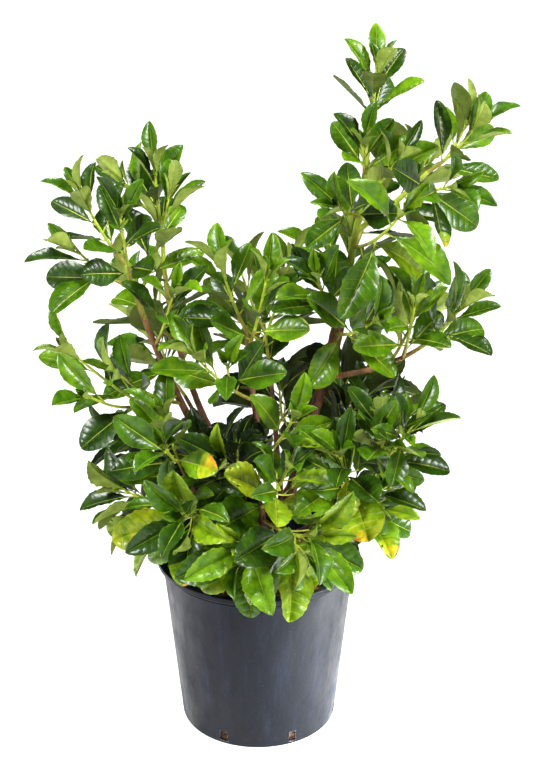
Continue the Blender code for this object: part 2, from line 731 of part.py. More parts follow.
def keep_main_body(mesh, weld=WELD):
    """Drop loose scraps and fill sealed hollows, so that one outer shell is left."""
    shape = bmesh.new()
    shape.from_mesh(mesh)
    bmesh.ops.remove_doubles(shape, verts=shape.verts, dist=weld)
    left = set(shape.faces)
    bodies = []
    while left:
        body = {left.pop()}
        border = list(body)
        while border:
            for link in border.pop().edges:
                for other in left.intersection(link.link_faces):
                    left.remove(other)
                    body.add(other)
                    border.append(other)
        bodies.append(body)
    bodies.sort(key=len)
    for body in bodies[:-1]:
        bmesh.ops.delete(shape, geom=list(body), context="FACES")
    bmesh.ops.triangulate(shape, faces=shape.faces)
    shape.to_mesh(mesh)
    shape.free()


def make_twigs(name, stem, sides, profile, pieces, parts):
    """A mass's stem with its side twigs, as one closed three-sided mesh."""
    radii = tapered_radii(stem, TWIG_FOOT_RADIUS, TWIG_TIP_RADIUS)
    item = tapered_curve(name, stem, radii, parts, profile)
    for index, route in enumerate(sides):
        radii = tapered_radii(route, TWIG_FOOT_RADIUS * SIDE_TWIG_FOOT, TWIG_TIP_RADIUS)
        tapered_curve(f"{name}_side_{index}", route, radii, pieces, profile)
    if sides:
        fuse(item, pieces)
    return item


def mass_leaves(name, mass, stem, sides, foreign):
    """All leaves of a mass: those on its stem, then those on each side twig."""
    own = []
    leaves = shoot_leaves(name, mass, stem, mass.leaves, foreign, own)
    side_count = round(mass.leaves * SIDE_LEAF_SHARE)
    for index, route in enumerate(sides):
        leaves += shoot_leaves(f"{name} side {index}", mass, route, side_count, foreign, own)
    return leaves


def add_leaves(item, leaves, pieces):
    """Join the leaves' solids to a mass's twigs."""
    for index, leaf in enumerate(leaves):
        shape = leaf_shape(leaf, LEAF_THICKNESS * leaf.length)
        mesh = bpy.data.meshes.new(f"{item.name}_leaf_{index}")
        shape.to_mesh(mesh)
        shape.free()
        add_object(mesh.name, mesh, pieces)
    fuse(item, pieces)


def make_masses(routes, fixed, grown, parts, cutters):
    """Every mass of foliage: all twigs first, then the leaves of each mass in turn."""
    leaf_green = plain_material("leaf_green", (0.060, 0.170, 0.030), 0.35)
    profile = twig_profile(cutters)
    pieces = new_collection("leaves_to_fuse")
    stems = main_twigs(routes)
    taken = list(routes.values()) + list(stems.values())
    sides = {}
    masses = {}
    for name, mass in MASSES.items():
        others = [route for route in taken if route is not stems[name]]
        sides[name] = side_twigs(name, mass, stems[name], others)
        taken += sides[name]
        masses[name] = make_twigs(name, stems[name], sides[name], profile, pieces, parts)
        cut_clear(masses[name], grown[mass.limb])
        keep_main_body(masses[name].data)
    finished = [known(item) for item in fixed]
    waiting = {name: known(item) for name, item in masses.items()}
    for name, mass in MASSES.items():
        del waiting[name]
        foreign = finished + list(waiting.values())
        leaves = mass_leaves(name, mass, stems[name], sides[name], foreign)
        add_leaves(masses[name], leaves, pieces)
        masses[name].data.materials.append(leaf_green)
        finished.append(known(masses[name]))
    bpy.data.collections.remove(pieces)


def main():
    clear_scene()
    parts = new_collection("potted_cherry_laurel")
    cutters = new_collection("cutters")
    pot = make_pot(parts, cutters)
    soil = make_soil(parts)
    routes = limb_routes()
    limbs, grown = make_limbs(routes, parts, cutters)
    make_masses(routes, [pot, soil, *limbs.values()], grown, parts, cutters)
    for item in cutters.objects:
        item.hide_render = True
        item.display_type = "WIRE"


main()
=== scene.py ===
"""The looks of a potted cherry laurel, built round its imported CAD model.

Metres, +Z up, -Y towards the viewer. The plant grows again here by the same seeded rule as its
solids. The leaves that the solids have become detailed blades, apart from a few that are shed, and
buds, young leaves and finer twigs grow on from the same shoots. The limbs get bark, and the pot
and the soil their finish.
"""

import json
import math
from collections import namedtuple
from random import Random

import bmesh
import bpy
from mathutils import Matrix, Quaternion, Vector, noise
from mathutils.bvhtree import BVHTree
from mathutils.kdtree import KDTree

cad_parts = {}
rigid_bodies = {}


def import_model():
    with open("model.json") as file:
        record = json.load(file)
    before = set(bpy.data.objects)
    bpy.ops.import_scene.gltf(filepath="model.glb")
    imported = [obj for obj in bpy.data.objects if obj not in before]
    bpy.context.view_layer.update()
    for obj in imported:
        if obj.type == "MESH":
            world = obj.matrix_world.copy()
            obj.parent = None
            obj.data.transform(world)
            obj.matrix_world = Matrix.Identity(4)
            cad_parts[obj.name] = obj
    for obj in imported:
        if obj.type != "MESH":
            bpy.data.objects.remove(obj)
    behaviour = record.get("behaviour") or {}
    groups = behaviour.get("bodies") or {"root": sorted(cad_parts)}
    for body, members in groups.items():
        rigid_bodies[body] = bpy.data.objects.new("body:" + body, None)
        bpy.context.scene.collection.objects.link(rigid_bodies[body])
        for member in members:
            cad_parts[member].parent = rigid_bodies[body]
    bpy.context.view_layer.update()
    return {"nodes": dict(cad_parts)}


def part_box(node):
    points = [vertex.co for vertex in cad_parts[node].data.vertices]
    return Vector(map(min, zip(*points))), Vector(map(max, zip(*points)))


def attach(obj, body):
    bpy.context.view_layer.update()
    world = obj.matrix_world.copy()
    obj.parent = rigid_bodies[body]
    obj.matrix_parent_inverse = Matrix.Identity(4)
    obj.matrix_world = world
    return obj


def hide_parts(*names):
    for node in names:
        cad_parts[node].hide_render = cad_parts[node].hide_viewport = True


# Pot, with the points of the thin ledge under its rim band, outwards and up
POT_HEIGHT = 0.255
POT_RIM_RADIUS = 0.1425
POT_WALL_TOP_RADIUS = 0.1345
POT_WALL_FOOT_RADIUS = 0.1095
POT_WALL = 0.0022
POT_FLOOR = 0.003
POT_FOOT_ROUNDING = 0.0025
POT_SHARP = 38.0
RIM_BAND_HEIGHT = 0.008
RIM_ROUNDING = 0.002
RIM_GROOVE = 0.002
RIM_LIP_OUT = 0.0006
RIM_LIP_DOWN = 0.0012
BAND_TAPER = 0.0003
BAND_TAPER_HEIGHT = 0.0016
GROOVE_STEP_OUT = 0.0004
GROOVE_STEP_DOWN = 0.0006
WALL_RINGS = (0.8, 0.6, 0.4, 0.2, 0.1)
FOOT_RING = 0.008
LEDGE_BELOW_BAND = 0.0065
LEDGE_PROFILE = ((0.0002, 0.0006), (0.0009, 0.0), (0.0001, -0.0008))
TURNED_STEPS = 160
ARC_STEPS = 6
SLOT_COUNT = 7
SLOT_WIDTH = 0.011
SLOT_HEIGHT = 0.0165
SLOT_SILL = 0.005
SLOT_MIDDLE = SLOT_SILL + SLOT_HEIGHT / 2
SLOT_DEPTH = 0.020
SLOT_FRAY = 0.0011
UPRIGHT_FRAY = 0.6
SLOT_SIDE_STEPS = 5
BURR_RADIUS = 0.00035
BURR_VARIES = (0.3, 1.0)
BURR_LIP = (0.0001, 0.0006)
BURR_STEPS = 3
THREAD_SIDES = 4

# Soil
SOIL_TOP = 0.230
SOIL_EDGE_DROP = 0.004
SOIL_FLAT = 0.7
SOIL_RINGS = 34
SOIL_CENTRE = 0.0005
SOIL_SPOKES = 110
SOIL_SIDE_HEIGHTS = (0.15, 0.05, 0.024, 0.018, 0.012, 0.006, 0.0036)
SOIL_ROUGH = 0.0022
SOIL_CLEAR = 0.0004
CLOD_SCALE = 60.0
CLOD_FRACTAL = (0.7, 2.0, 3)
GRIT = 0.6
GRIT_SCALE = 260.0
SIDE_ROUGH = 0.0006
SIDE_SPOKE_SCALE = 0.9
SIDE_HEIGHT_SCALE = 300.0
STREWN_CLEAR = 0.006
CRUMB_COUNT = 620
CRUMB_SIZE = (0.0008, 0.0032)
CRUMB_VARIES = (0.55, 1.2)
CRUMB_SHARP = 30.0
LUMP_FACES = (
    (0, 2, 4), (2, 1, 4), (1, 3, 4), (3, 0, 4), (2, 0, 5), (1, 2, 5), (3, 1, 5), (0, 3, 5),
)
CHIP_COUNT = 130
CHIP_SIZE = (0.003, 0.0085)
CHIP_WIDTH = (0.35, 0.6)
CHIP_THICKNESS = 0.16
CHIP_TILT = 0.5
CHIP_LIFT = 0.001
CHIP_VARIES = (0.8, 1.1)
CHIP_OUTLINE = ((-1, -0.6), (0.2, -1), (1, -0.3), (0.7, 0.8), (-0.6, 1))
ROOT_COUNT = 26
ROOT_POINTS = 5
ROOT_STEP = 0.0025
ROOT_FIELD = 0.55
ROOT_WANDERS = 0.9
ROOT_RADIUS = (0.0002, 0.0005)
ROOT_DEPTH = (0.5, 1.1)

# Fallen leaves: place, heading in degrees and length
FALLEN_LEAVES = (
    (0.098, -0.058, 225.0, 0.050), (-0.088, -0.058, 60.0, 0.050), (0.060, 0.070, 200.0, 0.055),
)
FALLEN_LIFT = 0.004
FALLEN_TILT = 0.12
FALLEN_FOLD = 0.35
FALLEN_BEND = 0.22
FALLEN_CURL = -0.5
FALLEN_TURNS_FROM = 0.3

# The clearance that the solids keep, and how far a leaf's tip may be from its solid's tip
GAP = 0.0003
SAME_TIP = 0.0002

# Limbs, and their bark: the heights where it turns younger, and how young ends and forks shift them
LIMB_POINTS = 8
TRUNK_FOOT = (0.012, 0.006)
TRUNK_FLARE = 0.007
TRUNK_FLARE_HEIGHT = 0.018
TRUNK_FLARE_DECAY = 2.2
BARK_RING = 0.0035
BARK_SIDES = 14
BARK_RELIEF = 0.055
BARK_SCALE = 260.0
BARK_STRETCH = 0.35
BARK_FRACTAL = (0.8, 2.0, 3)
BARK_STARTS = (0.56, 0.69, 0.74)
BARK_WAVERS = 0.03
BARK_WAVER_SCALE = 30.0
YOUNGER_BY_FORK = 0.12
YOUNGER_BY_SHARE = 0.10
KNOT_SPACING = 0.021
KNOT_VARIES = (0.7, 1.5)
KNOT_HEIGHT = 0.22
KNOT_LENGTH = 0.0032
TUBE_CAP = 0.6

# Twigs
TWIG_POINTS = 4
TWIG_SIDES = 6
TWIG_RINGS = 12
TWIG_RADII = (0.0028, 0.0016)
TWIG_RISE = 0.14
TWIG_TURN_STEP = 40
TWIG_CLEARANCE = 0.010
TWIG_TEST_SHARES = (0.0, 0.25, 0.5, 0.75)
SIDE_TWIG_FIRST = 0.42
SIDE_TWIG_STEP = 0.22
SIDE_TWIG_LENGTH = 0.55
SIDE_TWIG_LEAST = 0.045
SIDE_TWIG_VARIES = (0.85, 1.10)
SIDE_TWIG_AZIMUTH = 95.0
SIDE_TWIG_SPREAD = 42.0
SIDE_TWIG_LIFT = 0.12
SIDE_TWIG_FOOT = 0.8
SIDE_LEAF_SHARE = 0.55

# Leaves along a shoot. Their spread, width and fold are for its lowest leaf and for its tip
DIVERGENCE = 137.5
BARE_SHARE = 0.18
SPACING_POWER = 0.85
SPREAD = (66.0, 20.0)
SPREAD_POWER = 1.1
SPREAD_VARIES = 7.0
AZIMUTH_VARIES = 9.0
HANG_FALLS_TO = 1.15

# A leaf's blade, as the solids have it
YOUNG_LEAF_SIZE = 0.82
YOUNG_POWER = 1.6
LENGTH_VARIES = (0.88, 1.06)
LEAF_WIDTH = (0.50, 0.39)
WIDTH_VARIES = (0.92, 1.10)
LEAF_FOLD = (0.26, 0.70)
BEND_VARIES = (0.05, 0.16)
HANGING_BEND = 0.22
LEAF_ROOT_SUNK = 0.0003
LEAF_TRIES = (0.0, 24.0, -24.0, 48.0, -48.0)
LEAF_MIDDLE = 0.55
FACING_UP = 0.30
FACING_OUT = 0.22
FACING_LIGHT = 0.25
ROLL_VARIES = 16.0

# The crown's own space
CROWN_LOW = Vector((-0.325, -0.290, 0.190))
CROWN_HIGH = Vector((0.342, 0.280, 0.997))

UP = Vector((0.0, 0.0, 1.0))
FRONT = Vector((0.0, -1.0, 0.0))
NEARLY_FRONT = 0.2

Limb = namedtuple("Limb", "parent at tip bow foot_radius tip_radius")
Mass = namedtuple("Mass", "limb at apex leaves size sides turn droop")
Leaf = namedtuple("Leaf", "root direction normal length width fold bend")
Placed = namedtuple("Placed", "leaf rank mass number")
Blade = namedtuple(
    "Blade",
    "top tip tip_from under vein side_vein rib half taper fold wave waves phase twist curl bulge "
    "torn tooth",
)
Shape = namedtuple("Shape", "verts faces slots")

# Each limb: the limb that it leaves and the share of that limb's length below the fork, its tip,
# how far its middle bows out from a straight line, and its two radii
LIMB_ROWS = {
    "trunk": (None, 0.0, (0.146, 0.030, 0.855), (0.050, 0.0, 0.070), 0.0095, 0.0028),
    "left_bough": ("trunk", 0.03, (-0.172, 0.000, 0.681), (-0.046, 0.0, 0.010), 0.0066, 0.0034),
    "left_back_bough": ("trunk", 0.05, (-0.128, 0.080, 0.677), (-0.074, 0.033, 0.0), 0.0056, 0.0030),
    "middle_bough": ("trunk", 0.07, (-0.014, -0.022, 0.595), (-0.010, -0.020, 0.0), 0.0056, 0.0030),
    "right_bough": ("trunk", 0.74, (0.220, -0.004, 0.809), (0.006, 0.0, -0.004), 0.0040, 0.0028),
    "right_mid_bough": ("trunk", 0.40, (0.222, -0.015, 0.573), (0.016, 0.0, -0.016), 0.0042, 0.0028),
    "right_low_bough": ("trunk", 0.045, (0.140, -0.080, 0.410), (0.022, -0.012, -0.012), 0.0050, 0.0030),
    "right_back_bough": ("trunk", 0.12, (0.120, 0.105, 0.565), (0.015, 0.034, -0.010), 0.0050, 0.0030),
    "front_bough": ("trunk", 0.02, (0.006, -0.105, 0.377), (0.002, -0.022, -0.012), 0.0048, 0.0030),
    "left_low_bough": ("trunk", 0.06, (-0.090, -0.085, 0.400), (-0.020, -0.018, -0.012), 0.0050, 0.0030),
    "back_left_bough": ("trunk", 0.08, (-0.105, 0.130, 0.435), (-0.018, 0.030, -0.014), 0.0048, 0.0028),
    "back_bough": ("trunk", 0.10, (0.018, 0.130, 0.465), (0.0, 0.034, -0.014), 0.0048, 0.0028),
}

# Each mass: the limb it continues and where it leaves it, the apex of its shoot, its leaves, the
# length of its largest leaf, its side twigs, where its first leaf points, and how far its leaves
# hang down (or, below zero, stand up)
MASS_ROWS = {
    "leader_tip": ("trunk", 1.00, (0.153, 0.026, 0.935), 10, 0.080, 0, 160, -0.35),
    "leader_left": ("trunk", 0.88, (0.137, 0.004, 0.841), 7, 0.072, 0, 60, -0.30),
    "leader_west": ("trunk", 0.78, (0.110, -0.008, 0.761), 7, 0.080, 0, 0, -0.05),
    "leader_right": ("trunk", 0.82, (0.180, -0.006, 0.825), 8, 0.080, 0, 290, -0.20),
    "leader_back": ("trunk", 0.68, (0.166, 0.096, 0.781), 8, 0.086, 1, 320, -0.05),
    "right_tip": ("right_bough", 1.00, (0.274, -0.020, 0.869), 9, 0.080, 1, 90, -0.25),
    "right_fork": ("right_bough", 0.80, (0.241, -0.052, 0.803), 8, 0.090, 0, 150, 0.05),
    "right_back_fork": ("right_bough", 0.60, (0.220, 0.070, 0.789), 8, 0.088, 1, 100, 0.0),
    "right_hanging": ("trunk", 0.70, (0.178, -0.074, 0.769), 6, 0.118, 0, 60, 1.10),
    "right_mid_tip": ("right_mid_bough", 1.00, (0.266, -0.030, 0.631), 9, 0.086, 0, 140, -0.10),
    "right_mid_fork": ("right_mid_bough", 0.75, (0.204, -0.056, 0.643), 8, 0.084, 0, 140, 0.0),
    "right_mid_back": ("right_mid_bough", 0.60, (0.218, 0.062, 0.593), 8, 0.096, 1, 200, 0.05),
    "right_inner": ("trunk", 0.50, (0.150, -0.068, 0.627), 8, 0.096, 0, 0, 0.05),
    "right_low_tip": ("right_low_bough", 1.00, (0.202, -0.100, 0.493), 9, 0.088, 1, 180, 0.0),
    "right_low_front": ("right_low_bough", 0.86, (0.108, -0.136, 0.467), 8, 0.098, 0, 30, 0.10),
    "right_low_drop": ("right_low_bough", 0.62, (0.154, -0.112, 0.407), 8, 0.102, 0, 330, 0.25),
    "right_low_side": ("trunk", 0.22, (0.178, 0.036, 0.445), 8, 0.100, 1, 130, 0.10),
    "centre_top_left": ("middle_bough", 1.00, (-0.046, -0.024, 0.685), 9, 0.078, 0, 290, -0.20),
    "centre_top_right": ("middle_bough", 0.92, (0.012, -0.052, 0.677), 9, 0.082, 0, 290, -0.20),
    "centre_right": ("trunk", 0.54, (0.080, -0.036, 0.669), 9, 0.086, 0, 0, -0.15),
    "centre_back": ("middle_bough", 0.82, (0.040, 0.070, 0.649), 8, 0.088, 1, 160, 0.0),
    "centre_front": ("middle_bough", 0.42, (0.046, -0.112, 0.507), 8, 0.088, 0, 80, 0.0),
    "centre_left": ("middle_bough", 0.68, (-0.080, -0.072, 0.581), 9, 0.092, 1, 300, 0.05),
    "centre_low": ("middle_bough", 0.30, (-0.040, -0.100, 0.441), 9, 0.098, 1, 110, 0.10),
    "front_hub": ("front_bough", 1.00, (0.038, -0.150, 0.451), 9, 0.098, 0, 330, 0.10),
    "front_right": ("front_bough", 0.84, (0.066, -0.176, 0.373), 9, 0.120, 0, 340, 0.45),
    "front_middle": ("front_bough", 0.66, (-0.016, -0.180, 0.361), 9, 0.116, 0, 40, 0.50),
    "front_left": ("left_low_bough", 0.76, (-0.092, -0.160, 0.393), 9, 0.112, 0, 310, 0.38),
    "left_low_tip": ("left_low_bough", 1.00, (-0.120, -0.100, 0.501), 9, 0.094, 1, 260, 0.05),
    "left_low_side": ("left_low_bough", 0.60, (-0.174, -0.050, 0.371), 9, 0.110, 0, 30, 0.30),
    "left_out_tip": ("left_bough", 0.44, (-0.244, -0.040, 0.573), 8, 0.094, 1, 260, 0.0),
    "left_top_west": ("left_bough", 1.00, (-0.226, -0.006, 0.777), 9, 0.082, 0, 40, -0.15),
    "left_top_front": ("left_bough", 0.94, (-0.172, -0.062, 0.767), 9, 0.082, 0, 250, -0.20),
    "left_top_east": ("left_bough", 0.88, (-0.114, 0.012, 0.767), 9, 0.082, 0, 330, -0.25),
    "left_top_back": ("left_back_bough", 1.00, (-0.136, 0.072, 0.788), 9, 0.082, 1, 170, -0.20),
    "left_far": ("left_bough", 0.92, (-0.228, -0.036, 0.709), 6, 0.100, 0, 90, 0.0),
    "left_inner": ("left_bough", 0.72, (-0.110, -0.052, 0.655), 8, 0.088, 0, 160, 0.05),
    "left_mid_front": ("left_bough", 0.52, (-0.184, -0.066, 0.555), 7, 0.084, 0, 350, 0.05),
    "left_mid_back": ("left_back_bough", 0.66, (-0.176, 0.108, 0.615), 9, 0.094, 1, 40, 0.0),
    "back_left": ("back_left_bough", 1.00, (-0.152, 0.176, 0.505), 9, 0.102, 1, 290, 0.15),
    "back_left_low": ("back_left_bough", 0.66, (-0.172, 0.104, 0.377), 8, 0.112, 0, 240, 0.35),
    "back_top": ("back_bough", 1.00, (0.004, 0.166, 0.577), 9, 0.098, 1, 180, 0.05),
    "back_low": ("back_bough", 0.66, (0.048, 0.186, 0.397), 8, 0.112, 1, 130, 0.35),
    "back_right": ("right_back_bough", 1.00, (0.128, 0.146, 0.669), 9, 0.096, 1, 210, 0.05),
    "back_right_low": ("right_back_bough", 0.60, (0.156, 0.150, 0.435), 8, 0.106, 1, 100, 0.25),
}

LIMBS = {name: Limb(*row) for name, row in LIMB_ROWS.items()}
MASSES = {name: Mass(*row) for name, row in MASS_ROWS.items()}

# How many of its lowest leaves a shaded shoot inside the crown has shed
SHED = {
    "centre_left": 1, "centre_front": 2, "centre_right": 1, "left_inner": 2, "left_mid_front": 2,
}

# A detailed blade: its greatest half width as a share of the leaf's width, how it tapers to its
# tip, and how far it swells between its side veins, for broad old leaves, others and young ones
BROAD_BLADE = (0.55, 0.37, 0.046)
OLD_BLADE = (0.50, 0.52, 0.026)
YOUNG_BLADE = (0.40, 0.64, 0.010)

# Where a blade starts on the leaf's length, the power that puts its widest place, its taper to its
# base, its rows near the tip, and the shares of its half width where it has points, above and below
BLADE_START = 0.11
WIDEST_POWER = 1.45
BASE_TAPER = 1.15
POINT_ROWS = (0.965, 0.985, 1.0)
ACROSS = (0.36, 0.70)
UNDER_ACROSS = 0.6
LEAST_HALF = 0.0002
BLADE_THICKNESS = 0.00045
MARGIN_THIN = 0.0001
FLATTENING = 0.22
MORE_FOLD = 0.35
LOW_FOLD = 0.14
CURL_FROM = 0.65
TWIST_DRAWS_IN = 0.2

# Its veins, how they lean forwards and thin out, the swelling near the margin, and the midrib
VEIN_PAIRS = 7
FINE_VEIN_PAIRS = 5
TIP_VEIN_PAIRS = 4
VEIN_LEAN = 0.15
VEIN_HALF = 0.0005
VEIN_THINS = 0.85
OUTER_BULGE = 0.75
MIDRIB_HALF = 0.00085
MIDRIB_THINS = 1.15
MIDRIB_SUNK = 0.0005
WIDEST_RIB = 0.30
WIDEST_RIB_UNDER = 0.35
RIDGE_HEIGHT = 0.0009
RIDGE_HALF = 1.3 * MIDRIB_HALF
RIDGE_THINS = 1.1

# Its pale margin, the teeth where its veins end and the notches between them, where it may be torn,
# and how far before a spoiled tip its colour turns
MARGIN_WIDTH = 0.00030
WIDEST_MARGIN = 0.75
TOOTH = 0.0006
LOW_TOOTH = 0.0011
NOTCH = 0.4
TORN_FROM = 0.70
TURNING_BEFORE = 0.16
PETIOLE_RADII = (0.001375, 0.0011, 0.00088)
PETIOLE_END = 0.04
PETIOLE_SAGS = 0.0004
PETIOLE_RISE = 0.3
PETIOLE_SIDES = 5

# Masses whose apex is lower than this have broad old leaves, and those that grow behind this
# place, or this near to the middle, get dark tints as painted shade. Some shoots higher up bear broad
# leaves too
LOW_BELOW = 0.47
PAINTED_SHADE_BEHIND = -0.045
PAINTED_SHADE_WITHIN = 0.118
OLD_SHOOTS = ("right_hanging",)

# Shoots with more dark leaves than the others and shoots with more light ones, which tint takes
# the place of which there, and from which or up to which chance
DULL_SHOOTS = ("left_top", "left_far", "leader_west")
LIGHT_SHOOTS = ("centre", "right_mid", "right_inner", "left_inner", "right_tip")
DULLER = {"bright": "mid", "mid": "deep", "fresh": "mid", "lime": "bright"}
LIGHTER = {"deep": "mid", "mid": "bright"}
DULL_BELOW = 0.285
DULL_OVER = 0.35
LIGHT_UNDER = 0.45

# The ranks where leaves stop being aged and start being young, and the chances that an aged low
# leaf is lime or yellowing, and that an older leaf has a spoiled tip or a torn margin
AGED_TO = 0.4
HALF_WAY = 0.5
VEIN_OLD_TO = 0.6
YOUNG_FROM = 0.75
LIME_CHANCE = 0.15
YELLOW_CHANCE = 0.03
LOW_SPOILED = 0.16
SPOILED = 0.08
LOW_TORN = 0.34
TORN = 0.08

# Where on a leaf its place in the crown is taken, from which rank and how often undersides are
# pale, and the ranges of what differs from leaf to leaf
TINT_PLACE = 0.6
PALE_FROM = 0.55
PALE_CHANCE = 0.3
SPOILED_FROM = (0.62, 0.86)
TORN_IN = (0.3, 0.8)
BROAD_WAVE = (0.008, 0.022)
WAVE = (0.005, 0.015)
WAVES = (1.6, 2.8)
TWIST = 0.22
YOUNG_CURL = (0.1, 0.8)
OLD_CURL = (-0.3, 0.3)

# Young growth: the leaves at a shoot's very tip, lowest and highest, and length and radius of buds
TIP_LEAVES = 3
TIP_LEAF_PLACE = 0.985
TIP_LEAF_SIZE = (0.58, 0.34)
TIP_LEAF_SPREAD = (24.0, 10.0)
TIP_LEAF_VARIES = 4.0
TIP_LEAF_WIDTH = 0.34
TIP_WIDTH_VARIES = (0.9, 1.1)
TIP_LEAF_FOLD = 0.75
TIP_LEAF_BEND = (0.02, 0.12)
TIP_BUD = (0.0075, 0.0019)
AXIL_BUD = (0.0034, 0.0011)
AXIL_BUD_RISE = 1.6
AXIL_BUD_OUT = 0.00128
BUD_PROFILE = ((0.0, 0.75), (0.35, 1.0), (0.7, 0.6), (1.0, 0.08))

# Finer twigs: how many leave each shoot of a low mass, where and how far, and their leaves, whose
# numbers follow on from those of the shoots' own leaves
FINE_BELOW = 0.50
FINE_TWIGS = 7
FINE_TWIG_FIRST = 0.22
FINE_TWIG_RANGE = 0.692
FINE_TWIG_AZIMUTH = 60.0
FINE_TWIG_SPREAD = (38.0, 62.0)
FINE_TWIG_LENGTH = (0.25, 0.55)
FINE_LEAVES = 4
FINE_LEAF_SIZE = 0.72
FINE_APART = 0.012
FINE_RANKS = (0.25, 0.75)
FINE_NUMBERS_FROM = 100
FINE_NUMBERS_STEP = 10
DIAMOND = ((0.25, 0.0), (0.65, 1.0), (1.0, 0.0), (0.65, -1.0))
FINE_RADII = (0.0012, 0.00096)
BOX_GROWS = 0.004

# Camera, as the photo was taken
CAMERA_PLACE = (0.0235, -2.3, 1.505)
CAMERA_TILT = 66.7
PHOTO_HEIGHT_PX = 762
FOCAL_PX = 1855.0
SENSOR = 36.0

# How each slot of the leaf pieces looks: its darker and lighter colour as seen on a screen, its
# roughness, its waxy coat and how strong its dimples are
LEAF_TINTS = {
    # shade is painted shade: a dark top for leaves deep in the crown or behind it
    "shade": ((9, 20, 3), (20, 38, 4), 0.42, 0.30, 0.34),
    "deep": ((24, 48, 3), (44, 76, 5), 0.38, 0.42, 0.34),
    "mid": ((40, 74, 3), (70, 108, 8), 0.36, 0.42, 0.34),
    "bright": ((60, 98, 4), (98, 136, 12), 0.36, 0.42, 0.34),
    "fresh": ((80, 114, 6), (130, 156, 20), 0.38, 0.36, 0.34),
    "lime": ((94, 122, 8), (158, 168, 24), 0.40, 0.32, 0.34),
    "yellowing": ((136, 134, 14), (204, 172, 30), 0.42, 0.26, 0.34),
    # under_shade is painted shade: a dark underside for leaves deep in the crown or behind it
    "under_shade": ((34, 44, 14), (56, 68, 24), 0.56, 0.0, 0.20),
    "under_dull": ((78, 94, 32), (104, 120, 50), 0.52, 0.0, 0.20),
    "under_pale": ((122, 140, 56), (162, 180, 86), 0.52, 0.0, 0.20),
    "vein": ((146, 158, 52), (176, 184, 74), 0.45, 0.05, 0.10),
    "vein_young": ((112, 138, 36), (142, 164, 54), 0.42, 0.05, 0.10),
    "petiole": ((138, 152, 38), (166, 176, 50), 0.45, 0.10, 0.10),
    "amber": ((176, 96, 22), (214, 146, 36), 0.48, 0.10, 0.20),
    "scorched": ((74, 44, 20), (132, 82, 34), 0.62, 0.0, 0.30),
}
LEAF_SLOTS = tuple(LEAF_TINTS)

# The tint of a blade's thin margin and of its side veins, by the tint of its top
MARGINS = {
    "shade": "deep", "deep": "mid", "mid": "bright", "bright": "fresh", "fresh": "lime",
    "lime": "yellowing", "yellowing": "amber", "amber": "scorched",
}
VEIN_TINTS = {
    "shade": "mid", "deep": "bright", "mid": "fresh", "bright": "lime", "fresh": "vein",
    "lime": "vein", "yellowing": "vein", "amber": "scorched",
}

# The tints that the tops of leaves are dealt from: deep in the crown and in its shade, where the dark
# tints are painted shade, on the hanging shoot, low in front, and elsewhere by the leaf's age
TOPS = {
    "inner": ("shade", "shade", "deep"),
    "shaded": ("deep", "deep", "mid", "shade"),
    "hanging": ("bright", "mid", "fresh", "bright"),
    "low": ("bright", "fresh", "mid", "mid", "deep"),
    "young": ("mid", "bright", "mid", "bright", "deep"),
    "grown": ("mid", "mid", "bright", "deep"),
    "aged": ("mid", "deep", "deep", "bright"),
}

# The bark from a limb's foot to its young end: darker and lighter colour, and roughness
BARKS = {
    "old": ((62, 38, 26), (132, 88, 62), 0.78),
    "brown": ((86, 54, 34), (156, 112, 72), 0.74),
    "olive": ((112, 104, 36), (170, 160, 66), 0.62),
    "green": ((132, 154, 34), (190, 204, 72), 0.50),
}

# Lamps: place, what they point at, width and height, power and spread in degrees
MIDDLE = (0.0, 0.0, 0.55)
LAMPS = {
    "key_left": ((-2.6, -2.3, 3.1), MIDDLE, (0.9, 1.4), 242.0, 180.0),
    "key_right": ((2.7, -1.9, 3.0), MIDDLE, (0.9, 1.4), 225.0, 180.0),
    "top": ((0.15, 0.5, 4.2), MIDDLE, (1.1, 1.1), 190.0, 180.0),
    "floor_right": ((0.62, -0.22, 0.42), (0.40, -0.14, 0.0), (0.34, 0.34), 26.0, 90.0),
    "floor_left": ((-0.62, 0.02, 0.42), (-0.42, 0.06, 0.0), (0.24, 0.24), 5.0, 90.0),
}
FLOOR_HALF = 60.0
ROOM_LIGHT = 0.03


# Small helpers for shader nodes


def to_linear(colour):
    """A colour as it looks on a screen, 0 to 255, in the linear values of a shader."""
    linear = []
    for byte in colour:
        value = byte / 255
        linear.append(value / 12.92 if value <= 0.04045 else ((value + 0.055) / 1.055) ** 2.4)
    return (*linear, 1.0)


def set_values(node, **values):
    """Set or link a node's sockets, written with _ for a space, or set its own settings."""
    for name, value in values.items():
        socket = name.replace("_", " ")
        if socket not in node.inputs:
            setattr(node, name, value)
        elif isinstance(value, bpy.types.NodeSocket):
            node.id_data.links.new(value, node.inputs[socket])
        else:
            node.inputs[socket].default_value = value


def add_node(tree, kind, output, **values):
    """The named output of a new node."""
    node = tree.nodes.new(f"ShaderNode{kind}")
    set_values(node, **values)
    return node.outputs[output]


def new_material(name):
    """A new material with its node tree and its shader."""
    material = bpy.data.materials.new(name)
    material.use_nodes = True
    return material, material.node_tree, material.node_tree.nodes["Principled BSDF"]


def noise_at(tree, scale, detail, roughness=0.5, stretch=(1.0, 1.0, 1.0)):
    """Noise in the object's own space, long in a direction whose stretch is under 1."""
    place = add_node(tree, "TexCoord", "Object")
    vector = add_node(tree, "Mapping", "Vector", Vector=place, Scale=stretch)
    grain = {"Scale": scale, "Detail": detail, "Roughness": roughness}
    return add_node(tree, "TexNoise", "Fac", Vector=vector, **grain)


def mean_of(tree, first, second):
    added = add_node(tree, "Math", "Value", operation="ADD", Value=first)
    tree.links.new(second, added.node.inputs[1])
    halved = add_node(tree, "Math", "Value", operation="MULTIPLY", Value=added)
    halved.node.inputs[1].default_value = 0.5
    return halved


